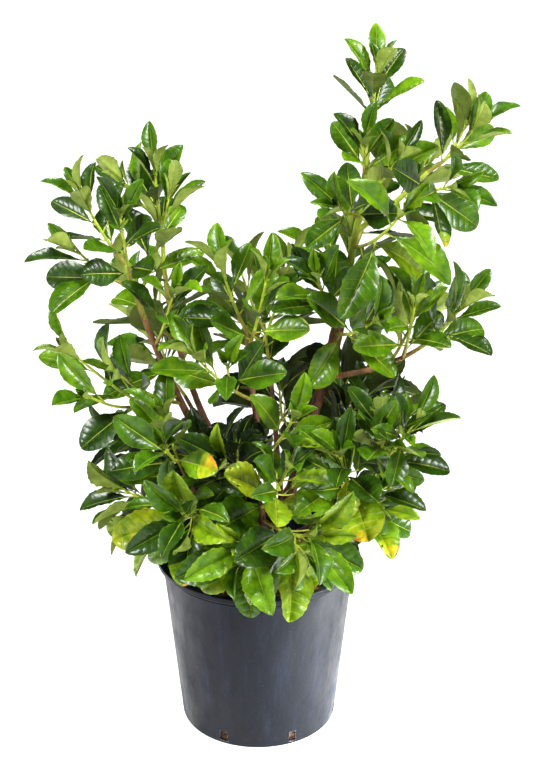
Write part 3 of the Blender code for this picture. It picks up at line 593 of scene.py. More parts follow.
def ramp(tree, value, *stops):
    """Colours as seen on a screen at places from 0 to 1, mixed evenly between."""
    mixed = add_node(tree, "ValToRGB", "Color", Fac=value)
    elements = mixed.node.color_ramp.elements
    while len(elements) < len(stops):
        elements.new(0.5)
    for element, (place, colour) in zip(elements, stops):
        element.position = place
        element.color = to_linear(colour)
    return mixed


def bump(tree, height, strength, distance, **values):
    values.update(Height=height, Strength=strength, Distance=distance)
    return add_node(tree, "Bump", "Normal", **values)


# Materials


def leaf_material(name, dark, light, roughness, coat, dimpled):
    """A leaf's surface: mottled flesh, a waxy coat, and dimples between its small veins."""
    material, tree, shader = new_material(f"leaf_{name}")
    mottling = noise_at(tree, scale=60.0, detail=3.0, roughness=0.6)
    dimples = noise_at(tree, scale=190.0, detail=3.0)
    colour = ramp(tree, mottling, (0.36, dark), (0.66, light))
    normal = bump(tree, dimples, strength=dimpled, distance=0.003)
    set_values(shader, Base_Color=colour, Normal=normal, Roughness=roughness)
    set_values(shader, Specular_IOR_Level=0.13, Coat_Weight=coat, Coat_Roughness=0.23)
    return material


def bark_material(name, dark, light, roughness):
    """Bark with long fibres, fine cracks and blotches."""
    material, tree, shader = new_material(f"bark_{name}")
    fibres = noise_at(tree, scale=420.0, detail=6.0, roughness=0.6, stretch=(1.0, 1.0, 0.25))
    blotches = noise_at(tree, scale=70.0, detail=3.0)
    colour = ramp(tree, mean_of(tree, fibres, blotches), (0.36, dark), (0.64, light))
    normal = bump(tree, fibres, strength=0.6, distance=0.0008)
    set_values(shader, Base_Color=colour, Normal=normal, Roughness=roughness)
    set_values(shader, Specular_IOR_Level=0.3)
    return material


def plastic_material():
    """Blue-black moulded plastic: a satin skin with faint upright streaks, scuffs and dust."""
    material, tree, shader = new_material("pot_plastic_finish")
    streaks = noise_at(tree, scale=70.0, detail=5.0, roughness=0.6, stretch=(1.0, 1.0, 0.06))
    clouds = noise_at(tree, scale=11.0, detail=4.0, roughness=0.6, stretch=(1.0, 1.0, 0.6))
    specks = noise_at(tree, scale=520.0, detail=5.0, roughness=0.7)
    wear = noise_at(tree, scale=32.0, detail=5.0, roughness=0.65, stretch=(1.0, 1.0, 0.5))
    grain = noise_at(tree, scale=900.0, detail=3.0, stretch=(1.0, 1.0, 0.2))
    skin = ramp(
        tree, mean_of(tree, streaks, clouds),
        (0.36, (2, 3, 6)), (0.52, (5, 8, 15)), (0.64, (22, 26, 40)), (0.80, (66, 70, 84)),
    )
    dust = ramp(tree, specks, (0.60, (0, 0, 0)), (0.74, (255, 255, 255)))
    dusty = tree.nodes.new("ShaderNodeMix")
    set_values(dusty, data_type="RGBA", blend_type="ADD", Factor=dust)
    under, over = [socket for socket in dusty.inputs if socket.type == "RGBA"]
    tree.links.new(skin, under)
    over.default_value = to_linear((52, 55, 62))
    colour = next(socket for socket in dusty.outputs if socket.type == "RGBA")
    limits = {"From_Min": 0.3, "From_Max": 0.7, "To_Min": 0.28, "To_Max": 0.62}
    gloss = add_node(tree, "MapRange", "Result", Value=wear, **limits)
    uneven = bump(tree, wear, strength=0.30, distance=0.003)
    normal = bump(tree, grain, strength=0.12, distance=0.0004, Normal=uneven)
    set_values(shader, Base_Color=colour, Normal=normal, Roughness=gloss)
    set_values(shader, Specular_IOR_Level=0.24, Specular_Tint=(0.80, 0.87, 1.0, 1.0))
    return material


def grainy_material(name, grain, dark, light, relief, **values):
    """A rough surface whose colours and bumps follow one noise."""
    material, tree, shader = new_material(name)
    specks = noise_at(tree, **grain)
    set_values(shader, Base_Color=ramp(tree, specks, dark, light), **values)
    set_values(shader, Normal=bump(tree, specks, *relief))
    return material


def torn_plastic():
    """The pot's plastic where it is torn: whitened and rough."""
    grain = {"scale": 420.0, "detail": 4.0, "roughness": 0.7}
    dull = {"Roughness": 0.7, "Specular_IOR_Level": 0.3}
    dark, light = (0.40, (40, 44, 56)), (0.62, (150, 154, 164))
    return grainy_material("pot_plastic_torn", grain, dark, light, (0.5, 0.0005), **dull)


def loose_material(name, scale, dark, light):
    """Soil, chips of bark or dead roots."""
    grain = {"scale": scale, "detail": 8.0, "roughness": 0.7}
    matt = {"Roughness": 0.95, "Specular_IOR_Level": 0.2}
    return grainy_material(name, grain, (0.35, dark), (0.70, light), (0.9, 0.002), **matt)


# Meshes as plain lists of points and faces


def new_shape():
    return Shape([], [], [])


def add_object(name, data):
    thing = bpy.data.objects.new(name, data)
    bpy.context.scene.collection.objects.link(thing)
    return thing


def add_grid(shape, rows, slot, flip=False, closed=False):
    """Faces between rows of points that all have the same count. The slot is the same for all the
    faces, or a function that gives a face's slot."""
    first = len(shape.verts)
    width = len(rows[0])
    for row in rows:
        shape.verts.extend(row)
    span = width if closed else width - 1
    for index in range(len(rows) - 1):
        for step in range(span):
            a = first + index * width + step
            b = first + index * width + (step + 1) % width
            face = (a, b, b + width, a + width)
            shape.faces.append(face[::-1] if flip else face)
            shape.slots.append(slot(index, step) if callable(slot) else slot)


def make_piece(name, shape, materials):
    """A smooth-shaded object from a shape, whose slots index the materials."""
    mesh = bpy.data.meshes.new(name)
    mesh.from_pydata(shape.verts, [], shape.faces)
    for material in materials:
        mesh.materials.append(material)
    mesh.polygons.foreach_set("material_index", shape.slots)
    mesh.shade_smooth()
    piece = add_object(name, mesh)
    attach(piece, "root")
    return piece


def tube(shape, route, radii, sides, slot, relief=None):
    """A round limb or twig along a route, closed at its tip."""
    normal = UP.orthogonal()
    rows = []
    last = len(route) - 1
    for index, (point, radius) in enumerate(zip(route, radii)):
        ahead = (route[min(index + 1, last)] - route[max(index - 1, 0)]).normalized()
        normal = (normal - ahead * normal.dot(ahead)).normalized()
        side = ahead.cross(normal)
        row = []
        for step in range(sides):
            angle = math.tau * step / sides
            out = normal * math.cos(angle) + side * math.sin(angle)
            swell = 1.0 if relief is None else relief(index, angle, point + out * radius)
            row.append(point + out * (radius * swell))
        rows.append(row)
    rows.append([route[-1] + (route[-1] - route[-2]).normalized() * radii[-1] * TUBE_CAP] * sides)
    add_grid(shape, rows, slot, closed=True)


def polar(radius, angle):
    """A point's x and y on a circle round Z."""
    return radius * math.cos(angle), radius * math.sin(angle)


# The growth rule, as the solids have it


def between(ends, share):
    start, end = ends
    return start + (end - start) * share


def length_of(route):
    return sum((b - a).length for a, b in zip(route, route[1:]))


def bent_route(start, end, bow, count):
    """Points along a smooth bend from start to end whose middle is pulled towards the bow."""
    control = (start + end) / 2 + bow
    route = []
    for index in range(count):
        share = index / (count - 1)
        point = start * (1 - share) ** 2 + control * (2 * share * (1 - share)) + end * share**2
        route.append(point)
    return route


def point_on(route, share):
    """The point and the direction at a share of a route's points."""
    place = share * (len(route) - 1)
    index = min(int(place), len(route) - 2)
    step = route[index + 1] - route[index]
    return route[index] + step * (place - index), step.normalized()


def limb_routes():
    """Every limb's centre line, parents first."""
    routes = {}
    for name, limb in LIMBS.items():
        if limb.parent is None:
            start = Vector((*TRUNK_FOOT, SOIL_TOP + GAP))
        else:
            start = point_on(routes[limb.parent], limb.at)[0]
        routes[name] = bent_route(start, Vector(limb.tip), Vector(limb.bow), LIMB_POINTS)
    return routes


def around(axis, azimuth, spread):
    """The direction that leaves an axis by an angle, turned round it from the front."""
    front = FRONT - axis * FRONT.dot(axis)
    if front.length < NEARLY_FRONT:
        front = UP - axis * UP.dot(axis)
    front.normalize()
    turn = math.radians(azimuth)
    tilt = math.radians(spread)
    outward = front * math.cos(turn) + axis.cross(front) * math.sin(turn)
    return axis * math.cos(tilt) + outward * math.sin(tilt)


def close_points(route):
    """Points close together along a route, for measuring how near it comes to another."""
    for first, second in zip(route, route[1:]):
        for share in TWIG_TEST_SHARES:
            yield first + (second - first) * share
    yield route[-1]


def routes_clear(route, others):
    """True if a twig stays clear of the others."""
    places = list(close_points(route))
    for other in others:
        for point in close_points(other):
            if any((point - place).length < TWIG_CLEARANCE for place in places):
                return False
    return True


def main_twigs(routes):
    """The one stem of every mass, bowed out below its chord and kept clear of the others."""
    twigs = {}
    for name, mass in MASSES.items():
        start = point_on(routes[mass.limb], mass.at)[0]
        apex = Vector(mass.apex)
        down = -UP * (TWIG_RISE * (apex - start).length)
        others = [route[1:] for route in twigs.values()]
        others += [route for limb, route in routes.items() if limb != mass.limb]
        for turn in range(0, 360, TWIG_TURN_STEP):
            bow = Quaternion((apex - start).normalized(), math.radians(turn)) @ down
            route = bent_route(start, apex, bow, TWIG_POINTS)
            if routes_clear(route[1:], others):
                break
        twigs[name] = route
    return twigs


def side_twigs(name, mass, stem, taken):
    """The side twigs of a mass, leaving its stem in turn by the same angles as its leaves."""
    draw = Random(name)
    longest = max(SIDE_TWIG_LEAST, SIDE_TWIG_LENGTH * length_of(stem))
    found = []
    for index in range(mass.sides):
        start, axis = point_on(stem, SIDE_TWIG_FIRST + SIDE_TWIG_STEP * index)
        reach = longest * draw.uniform(*SIDE_TWIG_VARIES)
        for nudge in LEAF_TRIES:
            azimuth = mass.turn + SIDE_TWIG_AZIMUTH + DIVERGENCE * index + nudge
            out = around(axis, azimuth, SIDE_TWIG_SPREAD)
            end = start + out * reach + UP * (SIDE_TWIG_LIFT * reach)
            route = bent_route(start, end, -UP * (TWIG_RISE * reach), TWIG_POINTS - 1)
            if routes_clear(route[1:], taken) and in_crown(end):
                found.append(route)
                taken.append(route)
                break
    return found


def all_side_twigs(routes, stems):
    taken = list(routes.values()) + list(stems.values())
    sides = {}
    for name, mass in MASSES.items():
        others = [route for route in taken if route is not stems[name]]
        sides[name] = side_twigs(name, mass, stems[name], others)
        taken += sides[name]
    return sides


def inside(point, low, high, more=0.0):
    """True if a point is in a box, which may be grown a little."""
    return all(a - more <= value <= b + more for a, value, b in zip(low, point, high))


def in_crown(point):
    return inside(point, CROWN_LOW, CROWN_HIGH)


def leaf_on(route, rank, azimuth, mass, draw):
    """A leaf on a shoot by its rank, from 0 for the lowest and oldest to 1 at the tip."""
    root, axis = point_on(route, BARE_SHARE + (1 - BARE_SHARE) * rank**SPACING_POWER)
    spread = between(SPREAD, rank**SPREAD_POWER)
    spread += draw.uniform(-SPREAD_VARIES, SPREAD_VARIES)
    azimuth += draw.uniform(-AZIMUTH_VARIES, AZIMUTH_VARIES)
    direction = around(axis, azimuth, spread) - UP * (mass.droop * (HANG_FALLS_TO - rank))
    direction.normalize()
    outward = Vector((root.x, root.y, 0.0)).normalized()
    inward = (axis - direction * axis.dot(direction)).normalized()
    facing = inward + UP * FACING_UP + outward * FACING_OUT + FRONT * FACING_LIGHT
    normal = (facing - direction * facing.dot(direction)).normalized()
    roll = math.radians(draw.uniform(-ROLL_VARIES, ROLL_VARIES))
    normal = Quaternion(direction, roll) @ normal
    length = mass.size * (1 + (YOUNG_LEAF_SIZE - 1) * rank**YOUNG_POWER)
    length *= draw.uniform(*LENGTH_VARIES)
    width = between(LEAF_WIDTH, rank) * (length * draw.uniform(*WIDTH_VARIES))
    bend = draw.uniform(*BEND_VARIES) + HANGING_BEND * max(0.0, mass.droop)
    return Leaf(root, direction, normal, length, width, between(LEAF_FOLD, rank), bend)


def leaf_matrix(leaf):
    side = leaf.normal.cross(leaf.direction)
    turn = Matrix((leaf.direction, side, leaf.normal)).transposed().to_4x4()
    return Matrix.Translation(leaf.root - leaf.direction * LEAF_ROOT_SUNK) @ turn


def along_leaf(leaf, share):
    return leaf.root + leaf.direction * (leaf.length * share)


# Which leaves the solids have


def node_tree(node):
    """The points of a node's solid, ready to be searched."""
    points = node.data.vertices
    tree = KDTree(len(points))
    for index, vertex in enumerate(points):
        tree.insert(vertex.co, index)
    tree.balance()
    return tree


def shoot_leaves(label, name, route, count, tree):
    """The leaves of one shoot that its node's solid has, apart from those it has shed."""
    mass = MASSES[name]
    placed = []
    for index in range(SHED.get(name, 0), count):
        rank = index / (count - 1)
        for turn in LEAF_TRIES:
            draw = Random(f"{label} {index}")
            leaf = leaf_on(route, rank, mass.turn + DIVERGENCE * index + turn, mass, draw)
            tip = leaf_matrix(leaf) @ Vector((leaf.length, 0.0, -leaf.bend * leaf.length))
            if tree.find(tip)[2] < SAME_TIP:
                placed.append(Placed(leaf, rank, name, index))
                break
    return placed


def placed_leaves(nodes, stems, sides):
    """The leaves of every mass that its node's solid has."""
    found = {}
    for name, mass in MASSES.items():
        tree = node_tree(nodes[name])
        found[name] = shoot_leaves(name, name, stems[name], mass.leaves, tree)
        count = round(mass.leaves * SIDE_LEAF_SHARE)
        for index, route in enumerate(sides[name]):
            found[name] += shoot_leaves(f"{name} side {index}", name, route, count, tree)
    return found


# Leaf blades


def outline(along, tip_taper):
    """A blade's half width at a place along it, as a share of its greatest half width."""
    if along <= 0.0 or along >= 1.0:
        return 0.0
    taper = between((BASE_TAPER, tip_taper), along)
    return math.sin(math.pi * along**WIDEST_POWER) ** taper


def half_width(leaf, blade, along):
    """A blade's half width at a place along it, never quite nothing."""
    return max(blade.half * leaf.width * outline(along, blade.taper), LEAST_HALF)


def blade_rows(pairs):
    """A blade's rows: each row's place along the midrib, how far it is on a bulge, and its side of
    a vein, -1 before it and +1 after it."""
    rows = [(0.0, 0.0, 0)]
    step = 1.0 / (pairs + 1)
    for index in range(pairs + 1):
        rows.append(((index + 0.5) * step, 1.0, 0))
        if index < pairs:
            rows.append(((index + 1.0) * step, 0.0, -1))
            rows.append(((index + 1.0) * step, 0.0, 1))
    return rows + [(place, 0.0, 0) for place in POINT_ROWS]


def blade_point(leaf, blade, along, across, side, lift):
    """A point of a blade in the leaf's own axes, by its shares along and across."""
    leaned = min(along + VEIN_LEAN * across * math.sin(math.pi * along), 1.0)
    share = between((BLADE_START, 1.0), leaned)
    width = outline(leaned, blade.taper)
    y = across * (blade.half * leaf.width * width)
    z = blade.fold * y * (1.0 - FLATTENING * across * across)
    z -= leaf.bend * share * share * leaf.length
    z -= blade.curl * max(0.0, leaned - CURL_FROM) ** 2 * leaf.length
    turn = math.tau * (blade.waves * leaned + blade.phase) + (math.pi if side < 0 else 0.0)
    z += blade.wave * leaf.length * across * across * math.sin(turn) * width
    z += lift
    y *= side
    sine = math.sin(blade.twist * share)
    cosine = math.cos(blade.twist * share)
    return Vector((share * leaf.length, y * cosine - z * sine * TWIST_DRAWS_IN, z + y * sine))


def blade_row(leaf, blade, matrix, along, sunk, points):
    """A row from margin to margin: its middle, and the same points to both sides of it."""
    row = [matrix @ blade_point(leaf, blade, along, 0.0, 1, sunk)]
    for here, share, lift in points:
        row.insert(0, matrix @ blade_point(leaf, blade, here, share, -1, lift))
        row.append(matrix @ blade_point(leaf, blade, here, share, 1, lift))
    return row


def blade_top(shape, leaf, blade, pairs, matrix, slots):
    """The upper side: rows that follow its veins, with the midrib sunk and the margin pale."""
    rows = []
    places = blade_rows(pairs)
    ragged = Random(blade.phase)
    for along, bulge, beside in places:
        half = half_width(leaf, blade, along)
        rib = min(MIDRIB_HALF * (MIDRIB_THINS - along) / half, WIDEST_RIB)
        edge = max(1.0 - MARGIN_WIDTH / half, WIDEST_MARGIN)
        tooth = 1.0
        if 0.0 < along < 1.0:
            tooth += (blade.tooth if beside else -NOTCH * blade.tooth) / half
        torn = 1.0 - blade.torn * ragged.random() if along > TORN_FROM else 1.0
        points = []
        across = (rib, *ACROSS, edge * torn, tooth * torn)
        for share, lift in zip(across, (0.0, bulge, OUTER_BULGE * bulge, 0.0, 0.0)):
            here = along + beside * VEIN_HALF * (1.0 - VEIN_THINS * share) / leaf.length
            points.append((here, share, lift * blade.bulge))
        rows.append(blade_row(leaf, blade, matrix, along, -MIDRIB_SUNK, points))
    last = len(rows[0]) - 2
    middle = (last - 1) // 2

    def slot_of(index, step):
        along, _, beside = places[index]
        by_margin = step in (1, last - 1)
        if step in (0, last):
            spoiled = blade.torn > 0.0 and along > TORN_FROM
            return slots["spoiled" if spoiled else "margin"]
        if step in (middle, middle + 1):
            return slots["rib"]
        if beside < 0 and not by_margin:
            return slots["side_vein"]
        if along > blade.tip_from and (step > middle) == (blade.phase > 0.5):
            return slots["tip_edge" if by_margin else "tip"]
        if blade.tip != blade.top and along > blade.tip_from - TURNING_BEFORE:
            return slots["turning"]
        return slots["top"]

    add_grid(shape, rows, slot_of, flip=True)


def blade_under(shape, leaf, blade, pairs, matrix, slots):
    """The underside: matt, a little below the top, with the midrib standing out."""
    rows = []
    below = -BLADE_THICKNESS
    for along, _, beside in blade_rows(pairs):
        if beside:
            continue
        thinner = RIDGE_THINS - along
        rib = min(RIDGE_HALF * thinner / half_width(leaf, blade, along), WIDEST_RIB_UNDER)
        points = [(along, rib, below), (along, UNDER_ACROSS, below), (along, 1.0, -MARGIN_THIN)]
        ridge = below - RIDGE_HEIGHT * thinner
        rows.append(blade_row(leaf, blade, matrix, along, ridge, points))
    rib_steps = (2, 3)
    add_grid(shape, rows, lambda _, step: slots["rib_under" if step in rib_steps else "under"])


def petiole(shape, leaf, blade, matrix, slot):
    """The leaf's stalk, from inside its twig into the midrib."""
    end = blade_point(leaf, blade, PETIOLE_END, 0.0, 1, -MIDRIB_SUNK)
    middle = Vector((end.x / 2, 0.0, end.z * PETIOLE_RISE - PETIOLE_SAGS))
    route = [matrix @ point for point in (Vector((0.0, 0.0, 0.0)), middle, end)]
    tube(shape, route, PETIOLE_RADII, PETIOLE_SIDES, slot)


def add_leaf(shape, leaf, blade, pairs):
    """One leaf with its stalk, added to a shape."""
    matrix = leaf_matrix(leaf)
    tints = {
        "top": blade.top,
        "tip": blade.tip,
        "tip_edge": MARGINS[blade.tip] if blade.tip != blade.top else blade.top,
        "turning": "lime" if blade.top in ("bright", "fresh", "lime") else "fresh",
        "margin": MARGINS[blade.top],
        "spoiled": "scorched",
        "rib": blade.vein,
        "side_vein": blade.side_vein,
        "under": blade.under,
        "rib_under": blade.rib,
        "stalk": "petiole",
    }
    slots = {part: LEAF_SLOTS.index(tint) for part, tint in tints.items()}
    blade_top(shape, leaf, blade, pairs, matrix, slots)
    blade_under(shape, leaf, blade, pairs, matrix, slots)
    petiole(shape, leaf, blade, matrix, slots["stalk"])


def kind_of_top(name, rank, low, inner, shaded):
    """Which row of TOPS a leaf's tint comes from."""
    if inner or shaded:
        return "inner" if inner else "shaded"
    if name in OLD_SHOOTS:
        return "hanging"
    if low:
        return "low"
    if rank > YOUNG_FROM:
        return "young"
    return "grown" if rank > AGED_TO else "aged"


def blade_for(placed):
    """How one leaf looks: older leaves are deeper green, more quilted and now and then torn."""
    leaf, rank, name, number = placed
    draw = Random(f"look {name} {number} {leaf.root.x:.4f}")
    low = MASSES[name].apex[2] < LOW_BELOW
    broad = low or name in OLD_SHOOTS
    elder = rank < HALF_WAY
    chance = draw.random()
    middle = along_leaf(leaf, TINT_PLACE)
    # Low leaves near the crown's middle or behind it get dark tops and undersides as painted shade
    inner = low and math.hypot(middle.x, middle.y) < PAINTED_SHADE_WITHIN
    shaded = inner or (low and middle.y > PAINTED_SHADE_BEHIND)
    kind = kind_of_top(name, rank, low, inner, shaded)
    if kind == "low" and rank < AGED_TO and chance < LIME_CHANCE:
        top = "yellowing" if chance < YELLOW_CHANCE else "lime"
    else:
        top = draw.choice(TOPS[kind])
    if (name.startswith(DULL_SHOOTS) or middle.z < DULL_BELOW) and chance > DULL_OVER:
        top = DULLER.get(top, top)
    elif name.startswith(LIGHT_SHOOTS) and chance < LIGHT_UNDER and not low:
        top = LIGHTER.get(top, top)
    spoiled = elder and draw.random() < (LOW_SPOILED if low else SPOILED)
    under = "under_pale" if rank > PALE_FROM or draw.random() < PALE_CHANCE else "under_dull"
    under = "under_shade" if shaded else under
    half, taper, bulge = [
        between(ends, rank) for ends in zip(BROAD_BLADE if broad else OLD_BLADE, YOUNG_BLADE)
    ]
    return Blade(
        top=top,
        tip=draw.choice(("yellowing", "yellowing", "lime")) if spoiled else top,
        tip_from=draw.uniform(*SPOILED_FROM),
        under=under,
        vein="vein" if rank < VEIN_OLD_TO else "vein_young",
        side_vein=(VEIN_TINTS if broad else MARGINS)[top] if elder else top,
        rib="vein_young" if rank > HALF_WAY else under,
        half=half,
        taper=taper,
        fold=leaf.fold * (1.0 + MORE_FOLD * rank) + (LOW_FOLD * (1.0 - rank) if broad else 0.0),
        wave=draw.uniform(*(BROAD_WAVE if broad else WAVE)),
        waves=draw.uniform(*WAVES),
        phase=draw.random(),
        twist=draw.uniform(-TWIST, TWIST),
        curl=draw.uniform(*(YOUNG_CURL if rank > HALF_WAY else OLD_CURL)),
        bulge=bulge * leaf.length,
        torn=torn_share(draw, broad) if elder else 0.0,
        tooth=LOW_TOOTH if broad else TOOTH,
    )


def torn_share(draw, broad):
    """How far in a torn margin goes, or nothing where the leaf is whole."""
    return draw.uniform(*TORN_IN) if draw.random() < (LOW_TORN if broad else TORN) else 0.0


# Young growth


def tip_leaves(name, route, count):
    """The smallest leaves, upright round a shoot's tip, grown on by the same rule."""
    mass = MASSES[name]
    draw = Random(f"tip {name} {route[-1].x:.4f}")
    root, axis = point_on(route, TIP_LEAF_PLACE)
    found = []
    for index in range(TIP_LEAVES):
        share = index / (TIP_LEAVES - 1)
        spread = between(TIP_LEAF_SPREAD, share) + draw.uniform(-TIP_LEAF_VARIES, TIP_LEAF_VARIES)
        direction = around(axis, mass.turn + DIVERGENCE * (count + index), spread).normalized()
        inward = (axis - direction * axis.dot(direction)).normalized()
        size = mass.size * between(TIP_LEAF_SIZE, share)
        width = size * TIP_LEAF_WIDTH * draw.uniform(*TIP_WIDTH_VARIES)
        bend = draw.uniform(*TIP_LEAF_BEND)
        leaf = Leaf(root, direction, inward, size, width, TIP_LEAF_FOLD, bend)
        if in_crown(along_leaf(leaf, 1.0)):
            found.append(Placed(leaf, 1.0, name, count + index))
    return found


def solids_tree(nodes):
    """The surfaces of all the masses' solids in one tree."""
    points = []
    faces = []
    for name in MASSES:
        first = len(points)
        mesh = nodes[name].data
        points += [vertex.co.copy() for vertex in mesh.vertices]
        faces += [[first + index for index in face.vertices] for face in mesh.polygons]
    return BVHTree.FromPolygons(points, faces)


def leaf_crosses(leaf, tree):
    """True if a leaf's blade, as a folded diamond, meets a surface of the tree."""
    matrix = leaf_matrix(leaf)
    half = leaf.width / 2
    points = []
    for share, side in DIAMOND:
        height = leaf.fold * abs(side) * half - leaf.bend * share**2 * leaf.length
        points.append(matrix @ Vector((share * leaf.length, side * half, height)))
    return bool(tree.overlap(BVHTree.FromPolygons(points, [(0, 1, 2), (0, 2, 3)])))


def fine_twigs(name, route, box, middles, solids):
    """Short twigs along a shoot with small leaves, kept inside their mass's box and apart."""
    mass = MASSES[name]._replace(size=MASSES[name].size * FINE_LEAF_SIZE)
    draw = Random(f"fine {name} {route[-1].x:.4f}")
    found = []
    for number in range(FINE_TWIGS):
        share = FINE_TWIG_FIRST + FINE_TWIG_RANGE * number / FINE_TWIGS
        start, axis = point_on(route, share)
        turn = mass.turn + FINE_TWIG_AZIMUTH + DIVERGENCE * number
        out = around(axis, turn, draw.uniform(*FINE_TWIG_SPREAD))
        reach = mass.size * draw.uniform(*FINE_TWIG_LENGTH)
        twig = bent_route(start, start + out * reach, -UP * (TWIG_RISE * reach), TWIG_POINTS)
        leaves = []
        for index in range(FINE_LEAVES):
            rank = index / (FINE_LEAVES - 1)
            leaf = leaf_on(twig, rank, turn + DIVERGENCE * index, mass, draw)
            middle = along_leaf(leaf, LEAF_MIDDLE)
            tip = along_leaf(leaf, 1.0)
            apart = all((middle - other).length > FINE_APART for other in middles)
            clear = inside(middle, *box, BOX_GROWS) and inside(tip, *box, BOX_GROWS) and in_crown(tip)
            if apart and clear and not leaf_crosses(leaf, solids):
                leaf_number = FINE_NUMBERS_FROM + FINE_NUMBERS_STEP * number + index
                leaves.append(Placed(leaf, between(FINE_RANKS, rank), name, leaf_number))
                middles.append(middle)
        if leaves:
            found.append((twig, leaves))
    return found


def bud(shape, place, axis, length, radius, slot):
    """A pointed bud."""
    route = [place + axis * (length * share) for share, _ in BUD_PROFILE]
    radii = [radius * share for _, share in BUD_PROFILE]
    tube(shape, route, radii, PETIOLE_SIDES, LEAF_SLOTS.index(slot))


def add_axil_bud(shape, leaf):
    """The small bud in a leaf's axil."""
    axis = (leaf.direction + leaf.normal * AXIL_BUD_RISE).normalized()
    place = leaf.root + leaf.normal * AXIL_BUD_OUT
    bud(shape, place, axis, *AXIL_BUD, "petiole")


def add_shoot_tip(shape, name, route):
    bud(shape, *point_on(route, 1.0), *TIP_BUD, "vein_young")
    for placed in tip_leaves(name, route, MASSES[name].leaves):
        add_leaf(shape, placed.leaf, blade_for(placed), TIP_VEIN_PAIRS)


# Stems


def finer(route, count):
    """The same smooth bend with more points: a bend is known from its ends and its next point."""
    share = 1.0 / (len(route) - 1)
    start, end = route[0], route[-1]
    pull = route[1] - start * (1 - share) ** 2 - end * share**2
    control = pull / (2 * share * (1 - share))
    return bent_route(start, end, control - (start + end) / 2, count)


def add_twig(shape, route, radii, slots):
    """One twig, whose first slot is at its foot and whose second is further up."""
    shares = [index / (TWIG_RINGS - 1) for index in range(TWIG_RINGS)]
    green_from = TWIG_RINGS // 3
    tube(
        shape, finer(route, TWIG_RINGS), [between(radii, share) for share in shares], TWIG_SIDES,
        lambda index, step: slots[1] if index >= green_from else slots[0],
    )


def knots_of(name, length):
    """Old leaf scars along a limb: their distance from its foot and the side they are on."""
    draw = Random(f"knots {name}")
    found = []
    place = KNOT_SPACING
    turn = draw.uniform(0.0, math.tau)
    while place < length - KNOT_SPACING:
        found.append((place, turn))
        place += KNOT_SPACING * draw.uniform(*KNOT_VARIES)
        turn += math.radians(DIVERGENCE)
    return found


def make_limb(name, route, materials):
    """A limb's bark: fissured and knotted, brown below and green where it is young."""
    limb = LIMBS[name]
    length = length_of(route)
    count = max(LIMB_POINTS, round(length / BARK_RING))
    fine = finer(route, count)
    ends = (limb.foot_radius, limb.tip_radius)
    radii = [between(ends, index / (count - 1)) for index in range(count)]
    if limb.parent is None:
        for index, point in enumerate(fine):
            risen = (point.z - fine[0].z) / TRUNK_FLARE_HEIGHT
            radii[index] += TRUNK_FLARE * math.exp(-TRUNK_FLARE_DECAY * risen)
    knots = knots_of(name, length)

    def relief(index, angle, point):
        along = length * index / (count - 1)
        stretched = Vector((point.x, point.y, point.z * BARK_STRETCH)) * BARK_SCALE
        swell = 1.0 + BARK_RELIEF * noise.fractal(stretched, *BARK_FRACTAL)
        for place, turn in knots:
            near = math.exp(-((along - place) / KNOT_LENGTH) ** 2)
            swell += KNOT_HEIGHT * near * max(0.0, math.cos(angle - turn)) ** 2
        return swell

    def slot_of(index, step):
        point = fine[min(index, count - 1)]
        wavers = BARK_WAVERS * noise.noise(point * BARK_WAVER_SCALE + Vector((step, 0.0, 0.0)))
        younger = YOUNGER_BY_FORK * limb.at + YOUNGER_BY_SHARE * index / count
        return sum(point.z + wavers + younger >= start for start in BARK_STARTS)

    shape = new_shape()
    tube(shape, fine, radii, BARK_SIDES, slot_of, relief)
    piece = make_piece(f"{name}_bark", shape, materials)
    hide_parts(name)


# Foliage


def add_mass(leaves, twigs, name, shoots, placed_here, middles, solids):
    """One mass: the leaves that its solid has, its twigs and their tips, and the finer twigs."""
    for placed in placed_here:
        add_leaf(leaves, placed.leaf, blade_for(placed), VEIN_PAIRS)
        add_axil_bud(leaves, placed.leaf)
    for index, route in enumerate(shoots):
        foot, tip = TWIG_RADII
        add_twig(twigs, route, (foot * SIDE_TWIG_FOOT if index else foot, tip), (0, 1))
        add_shoot_tip(leaves, name, route)
        if MASSES[name].apex[2] < FINE_BELOW:
            for twig, small in fine_twigs(name, route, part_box(name), middles, solids):
                add_twig(twigs, twig, FINE_RADII, (1, 1))
                for placed in small:
                    add_leaf(leaves, placed.leaf, blade_for(placed), FINE_VEIN_PAIRS)


def make_foliage(nodes, routes, bark):
    """Leaves and twigs, joined into one piece of each for every limb that carries them."""
    leaf_order = [leaf_material(name, *look) for name, look in LEAF_TINTS.items()]
    stems = main_twigs(routes)
    sides = all_side_twigs(routes, stems)
    found = placed_leaves(nodes, stems, sides)
    middles = []
    for leaves in found.values():
        middles += [along_leaf(placed.leaf, LEAF_MIDDLE) for placed in leaves]
    solids = solids_tree(nodes)
    for limb in LIMBS:
        names = [name for name, mass in MASSES.items() if mass.limb == limb]
        leaves = new_shape()
        twigs = new_shape()
        for name in names:
            shoots = [stems[name]] + sides[name]
            add_mass(leaves, twigs, name, shoots, found[name], middles, solids)
        piece = make_piece(f"{limb}_leaves", leaves, leaf_order)
        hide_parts(*names)
        make_piece(f"{limb}_twigs", twigs, [bark["olive"], bark["green"]])
    make_fallen_leaves(leaf_order)


